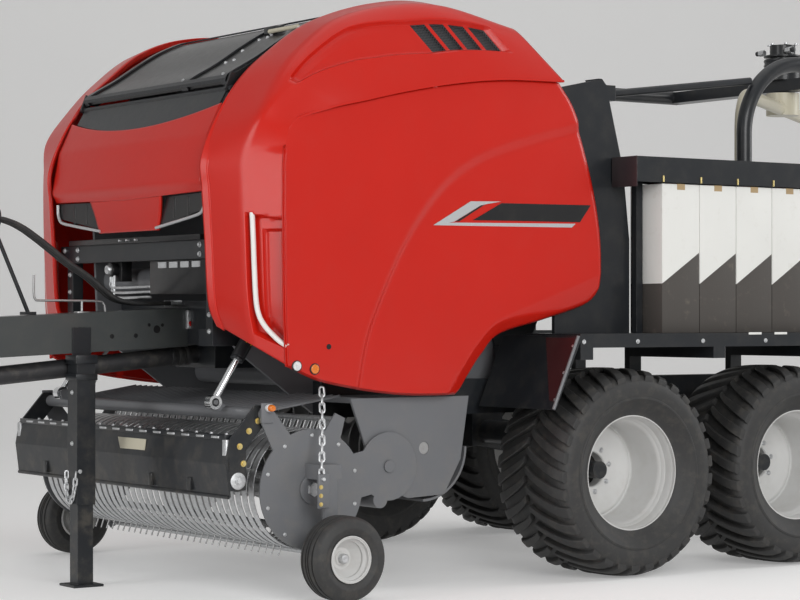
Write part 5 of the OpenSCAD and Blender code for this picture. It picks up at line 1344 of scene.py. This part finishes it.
class BALER_OT_pickup(bpy.types.Operator):
    """Dresses the pick-up, its crop press and its lift cylinders"""

    bl_idname = "baler.pickup"
    bl_label = "Pick-up"

    def execute(self, context):
        self.press()
        self.ends()
        self.lift()
        return {"FINISHED"}

    def press(self):
        """The crop press's rail with pads, blank plate, bolts and guard rod."""
        shape = bmesh.new()
        # rail with pads and bolts
        block(shape, (2084, -1085, 748), (2122, 1085, 774), 3, 0)
        for i in range(15):
            y = -1000 + 140 * i
            block(shape, (2116, y, 756), (2125, y + 70, 766), 1.5, 1)
            bolt(shape, (2100, y + 105, 774), (0, 0, 1), 9, 1)
        cream = ((2122.8, 40, 722), (2122.8, 330, 722), (2131, 330, 668), (2137, 90, 668))
        plate(shape, cream, (2.5, 0, 0.5), 2)
        bar(shape, 2116, (-1105, 1105), 486, 9, 14, 0)
        for side in SIDES:
            for x, z in ((1962, 836), (2010, 790), (2060, 720), (2040, 640)):
                bolt(shape, (x, side * 1112, z), (0, side, 0), 13, 3)
            bar(shape, 2070, (side * 1112, side * 1119), 560, 40, 32, 1, 2.0)
            bolt(shape, (2070, side * 1119, 560), (0, side, 0), 16, 1)
            block(shape, (2100, side * 1086 - 18, 650), (2128, side * 1086 + 18, 752), 3, 1)
        for y in (-760, -380, 380, 760):
            block(shape, (2110, y - 16, 500), (2133, y + 16, 560), 2, 0)
        piece(shape, "press_fittings", "press", ["dark", "zinc", "beige", "brass_zinc"])

    def ends(self):
        """Reflectors, bearing covers, chains and bolts on the pick-up's ends."""
        shape = bmesh.new()
        x, z = REEL_PLACE
        for side in SIDES:
            block(shape, (1898, side * 1143 - 5, 826), (1962, side * 1143 + 5, 920), 3, 0)
            bar(shape, 1925, (side * 1146, side * 1168), 896, 19, 24, 1, 2.0)
            bar(shape, 1925, (side * 1168, side * 1192), 896, 18, 24, 2, 3.0, 14)
            for ahead, up in around(10):
                bolt(shape, (x + ahead * 255, side * 1138, z + up * 255), (0, side, 0), 8, 3)
            bar(shape, x, (side * 1138, side * 1152), z, 70, 40, 0, 3.0)
            bar(shape, x, (side * 1152, side * 1164), z, 34, 6, 3)
            links = [(1632, side * 1150, 985), (1676, side * 1222, 790), (1727, side * 1296, 572)]
            chain(shape, links, 52, 5.5, 3)
            bar(shape, 1727, (side * 1280, side * 1318), 566, 9, 12, 3)
            block(shape, (1690, side * 1300 - 8, 430), (1750, side * 1300 + 8, 590), 4, 0)
            for high in (450, 490, 530):
                bolt(shape, (1738, side * 1308, high), (0, side, 0), 9, 4)
        piece(shape, "pickup_fittings", "pickup", ["grey", "clear", "amber", "zinc", "brass_zinc"])

    def lift(self):
        """A blank plate and two collars on each lift cylinder."""
        shape = bmesh.new()
        axis = Vector((300, 0, -465)).normalized()
        across = Vector((axis.z, 0, -axis.x))
        for side in SIDES:
            start = Vector((1720, side * 800, 1380))
            middle = start + axis * 165
            corners = [middle + axis * a * 62 + across * b * 17 for a, b in ((-1, -1), (1, -1), (1, 1), (-1, 1))]
            plate(shape, [c + Vector((0, side * 29, 0)) for c in corners], (0, side * 3, 0), 0)
            for share in (60, 300):
                spot = start + axis * share
                rod(shape, spot, spot + axis * 18, 33, 28, 1, 2.0)
        piece(shape, "lift_fittings", "barrels", ["yellow", "dark"])


class BALER_OT_drawbar(bpy.types.Operator):
    """Dresses the drawbar and the jack"""

    bl_idname = "baler.drawbar"
    bl_label = "Drawbar"

    def execute(self, context):
        shape = bmesh.new()
        # holes through the drawbar's sides
        holes = ((2190, 1223, 12), (2057, 1226, 12), (1938, 1257, 20), (1982, 1279, 9), (1906, 1278, 9))
        for x, z, radius in holes:
            for side in SIDES:
                bar(shape, x, (side * 99, side * 100.8), z, radius, 20, 0)
        # lamp block beside the drawbar, and the stand for the hoses
        block(shape, (1742, 101, 1258), (1776, 128, 1352), 5, 1)
        bar(shape, 1759, (128, 134), 1285, 14, 20, 2, 2.0)
        stand = (
            (2595, 1523), (2595, 1430), (2585, 1404), (2550, 1400), (2260, 1397), (2215, 1384), (2206, 1345),
        )
        bent(shape, [(x, 60, z) for x, z in stand], 36, 6, 10, 3)
        bar(shape, 2335, 60, (1340, 1398), 6, 12, 3)
        block(shape, (2300, 40, 1336), (2370, 80, 1346), 2, 3)
        # the jack's two hollow collars, bolts and small chain
        for low, high in ((1010, 1040), (1090, 1133)):
            for side in SIDES:
                x, y = JACK_PLACE[0] + side * 55, JACK_PLACE[1] + side * 55
                block(shape, (x - 4, 47, low), (x + 4, 163, high), 2, 4)
                block(shape, (2302, y - 4, low), (2418, y + 4, high), 2, 4)
        for z in (440, 700, 950):
            bolt(shape, (2410, 105, z), (1, 0, 0), 10, 1)
        loop = [
            (2414, 55, 560), (2420, 62, 480), (2422, 85, 425), (2424, 105, 412), (2422, 125, 425), (2420, 148, 480),
            (2414, 155, 560),
        ]
        chain(shape, loop, 40, 4.5, 1)
        for side in SIDES:
            bar(shape, 2395, (side * 48 + 105, side * 56 + 105), 565, 10, 12, 1)
        # rings of the drive shaft's guard
        start, end = Vector((1665, 0, 1130)), Vector((3050, 0, 1008))
        for share, radius in ((0.03, 54), (0.06, 51), (0.09, 49), (0.47, 50), (0.5, 50), (0.93, 50)):
            spot = start.lerp(end, share)
            rod(shape, spot, spot + (end - start).normalized() * 26, radius, 32, 5, 3.0)
        for y in (-70, 70):
            for x in (3380, 3420):
                bolt(shape, (x, y, 1148), (0, 0, 1), 11, 1)
        looks = ["black", "zinc", "lamp", "steel", "dark", "plastic"]
        piece(shape, "drawbar_fittings", "machine", looks)
        return {"FINISHED"}


class BALER_OT_rear(bpy.types.Operator):
    """Dresses the platforms, the film magazine and the wrapper"""

    bl_idname = "baler.rear"
    bl_label = "Rear"

    def execute(self, context):
        self.platforms()
        self.gate()
        self.wrapper()
        self.table()
        return {"FINISHED"}

    def platforms(self):
        """Pins of the magazine's rail, plates, bolts and the mudguards' edges."""
        shape = bmesh.new()
        for side in SIDES:
            for i in range(5):
                x = CARTON_FRONT - CARTON_PITCH * i + 1.5
                bar(shape, x, side * 1321, (2012, 2044), 5, 10, 0)
            block(shape, (-171, side * 1220 - 99, 1985), (-166, side * 1220 + 99, 2141), 1.5, 1)
            for x in (-880, -1064):
                block(shape, (x - 90, side * 1381 - 2, 1226), (x, side * 1381 + 2, 1238), 1, 2)
            # the mudguard's bolts, edge, and a dark red wedge that is a painted reflection of the red side cover
            guard = Vector((158, 0, -365)).normalized()
            for share in (0.12, 0.5, 0.88):
                spot = Vector((262, side * 1360, 1215)) + guard * 380 * share
                bolt(shape, spot, (0.918, 0, 0.397), 9, 3)
            pipe(shape, [(258, side * 1372, 1224), (416, side * 1372, 862)], 9, 10, 4)
            # dark red wedge: a painted reflection of the red side cover in the dark mudguard
            reflection_wedge = ((262, 1365, 1214), (262, 1120, 1214), (396, 1318, 905), (400, 1365, 896))
            plate(shape, [(x + 1, side * y, z) for x, y, z in reflection_wedge], (3.5, 0, 1.5), 5)
            for x in (-1430, -1000, -560, -120, 230):
                bolt(shape, (x, side * 1380, 1195), (0, side, 0), 10, 3)
        looks = ["brass_zinc", "plum", "white", "zinc", "grey", "red_reflection"]
        outward(shape)
        piece(shape, "platform_trim", "machine", looks)

    def gate(self):
        """Straps, ribs and bolts on the tailgate."""
        shape = bmesh.new()
        for first, second in zip(GATE_PROFILE, GATE_PROFILE[1:]):
            ahead = Vector((second[0] - first[0], 0, second[1] - first[1])).normalized()
            out = Vector((ahead.z, 0, -ahead.x)) * 7
            for y in (-640, -350, -35, 280, 570):
                corners = [(first, y), (second, y), (second, y + 70), (first, y + 70)]
                plate(shape, [(x, across, z) for (x, z), across in corners], out, 0, 2.0)
            middle = (Vector((first[0], 0, first[1])) + Vector((second[0], 0, second[1]))) / 2 + out
            for y in (-605, 605):
                bolt(shape, middle + Vector((0, y, 0)), out, 9, 1)
        for x, z in GATE_PROFILE[1:-1]:
            bar(shape, x, (-645, 645), z, 11, 16)
        outward(shape)
        piece(shape, "gate_ribs", "gate", ["dark", "zinc"])

    def wrapper(self):
        """The film rolls' cores, the pre-stretch rollers' rings, the drive's ribs and the lamps' sections."""
        shape = bmesh.new()
        for turn in (0, math.pi):
            spot = Matrix.Translation((WRAP_X, 0, 0)) @ Matrix.Rotation(turn + math.radians(35), 4, "Z")
            roll = spot @ Vector((1112, 232, 0))
            for radius, high, look in ((117, 1992.8, 0), (92, 1993.6, 1), (72, 1995, 2), (50, 1999, 3)):
                bar(shape, roll.x, roll.y, (1985, high), radius, 40, look)
            for z in (1300, 1470, 1640, 1810, 1950):
                bar(shape, roll.x, roll.y, (z, z + 5), 118.6, 48, 1)
            for across in (-50, 50):
                roller = spot @ Vector((1055, across, 0))
                for low in range(1262, 2030, 48):
                    bar(shape, roller.x, roller.y, (low, low + 34), 43.2, 24, 3)
                bolt(shape, (roller.x, roller.y, 2062), (0, 0, 1), 13, 4)
            bolt(shape, (roll.x, roll.y, 2062), (0, 0, 1), 16, 4)
        looks = ["film", "white", "tape", "plastic", "zinc"]
        piece(shape, "wrapper_fittings", "wrapper", looks, sharp=0.5)
        shape = bmesh.new()
        for z in (2812, 2840, 2868, 2896):
            bar(shape, WRAP_X, 0, (z, z + 12), 114, 36, 0, 2.0)
        for across, along in around(6):
            bolt(shape, (WRAP_X + along * 84, across * 84, 2970), (0, 0, 1), 12, 1)
        for side in SIDES:
            # the drive's two oil fittings, and a rear lamp's sections
            bar(shape, WRAP_X + 60, (side * 96, side * 136), 2930, 19, 6, 1)
            bar(shape, WRAP_X + 60, (side * 136, side * 162), 2930, 15, 20, 0, 2.0)
            for y, look in ((1008, 2), (1112, 3)):
                block(shape, (-3551.5, side * y - 22, 578), (-3548, side * y + 22, 662), 1.0, look)
            for y in (978, 1142):
                bolt(shape, (-3550, side * y, 620), (-1, 0, 0), 5, 1)
        piece(shape, "drive_fittings", "machine", ["dark", "zinc", "amber", "clear"])

    def table(self):
        """The wrapping table's nuts and the slats of its rollers."""
        shape = bmesh.new()
        for side in SIDES:
            for x in ROLLERS.values():
                bar(shape, x, (side * 620, side * 626), ROLLER_HEIGHT, 34, 28, 1, 2.0)
                bolt(shape, (x, side * 626, ROLLER_HEIGHT), (0, side, 0), 17, 1)
            for x in (-2240, -2450, -2660):
                bolt(shape, (x, side * 620, ROLLER_HEIGHT), (0, side, 0), 10, 1)
        piece(shape, "table_fittings", "table", ["beige", "zinc"])
        for name, x in ROLLERS.items():
            shape = bmesh.new()
            for ahead, up in around(12):
                bar(shape, x + ahead * 97, (-580, 580), ROLLER_HEIGHT + up * 97, 6, 10)
            for side in SIDES:
                bar(shape, x, (side * 584, side * 590), ROLLER_HEIGHT, 101, 40, 1, 2.0)
            piece(shape, f"roller_{name}_slats", f"roller_{name}", ["plastic", "zinc"])


class BALER_PT_panel(bpy.types.Panel):
    """The sizes, the colours and a button for each group"""

    bl_idname = "BALER_PT_panel"
    bl_label = "Round baler"
    bl_space_type = "VIEW_3D"
    bl_region_type = "UI"
    bl_category = "Baler"

    def draw(self, context):
        for group in (context.scene.baler_sizes, context.scene.baler_colours):
            for name in group.__annotations__:
                self.layout.prop(group, name)
        for step in STEPS:
            self.layout.operator(step.bl_idname)


STEPS = (
    BALER_OT_finishes,
    BALER_OT_stage,
    BALER_OT_hoses,
    BALER_OT_covers,
    BALER_OT_hood,
    BALER_OT_wheels,
    BALER_OT_cartons,
    BALER_OT_front,
    BALER_OT_pickup,
    BALER_OT_drawbar,
    BALER_OT_rear,
)
CLASSES = (BalerColours, BalerSizes, *STEPS, BALER_PT_panel)


def register():
    for kind in CLASSES:
        bpy.utils.register_class(kind)
    bpy.types.Scene.baler_colours = PointerProperty(type=BalerColours)
    bpy.types.Scene.baler_sizes = PointerProperty(type=BalerSizes)


def unregister():
    del bpy.types.Scene.baler_sizes
    del bpy.types.Scene.baler_colours
    for kind in reversed(CLASSES):
        bpy.utils.unregister_class(kind)


def main():
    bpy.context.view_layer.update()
    register()
    for step in STEPS:
        group, name = step.bl_idname.split(".")
        getattr(getattr(bpy.ops, group), name)()


if __name__ == "__main__":
    main()
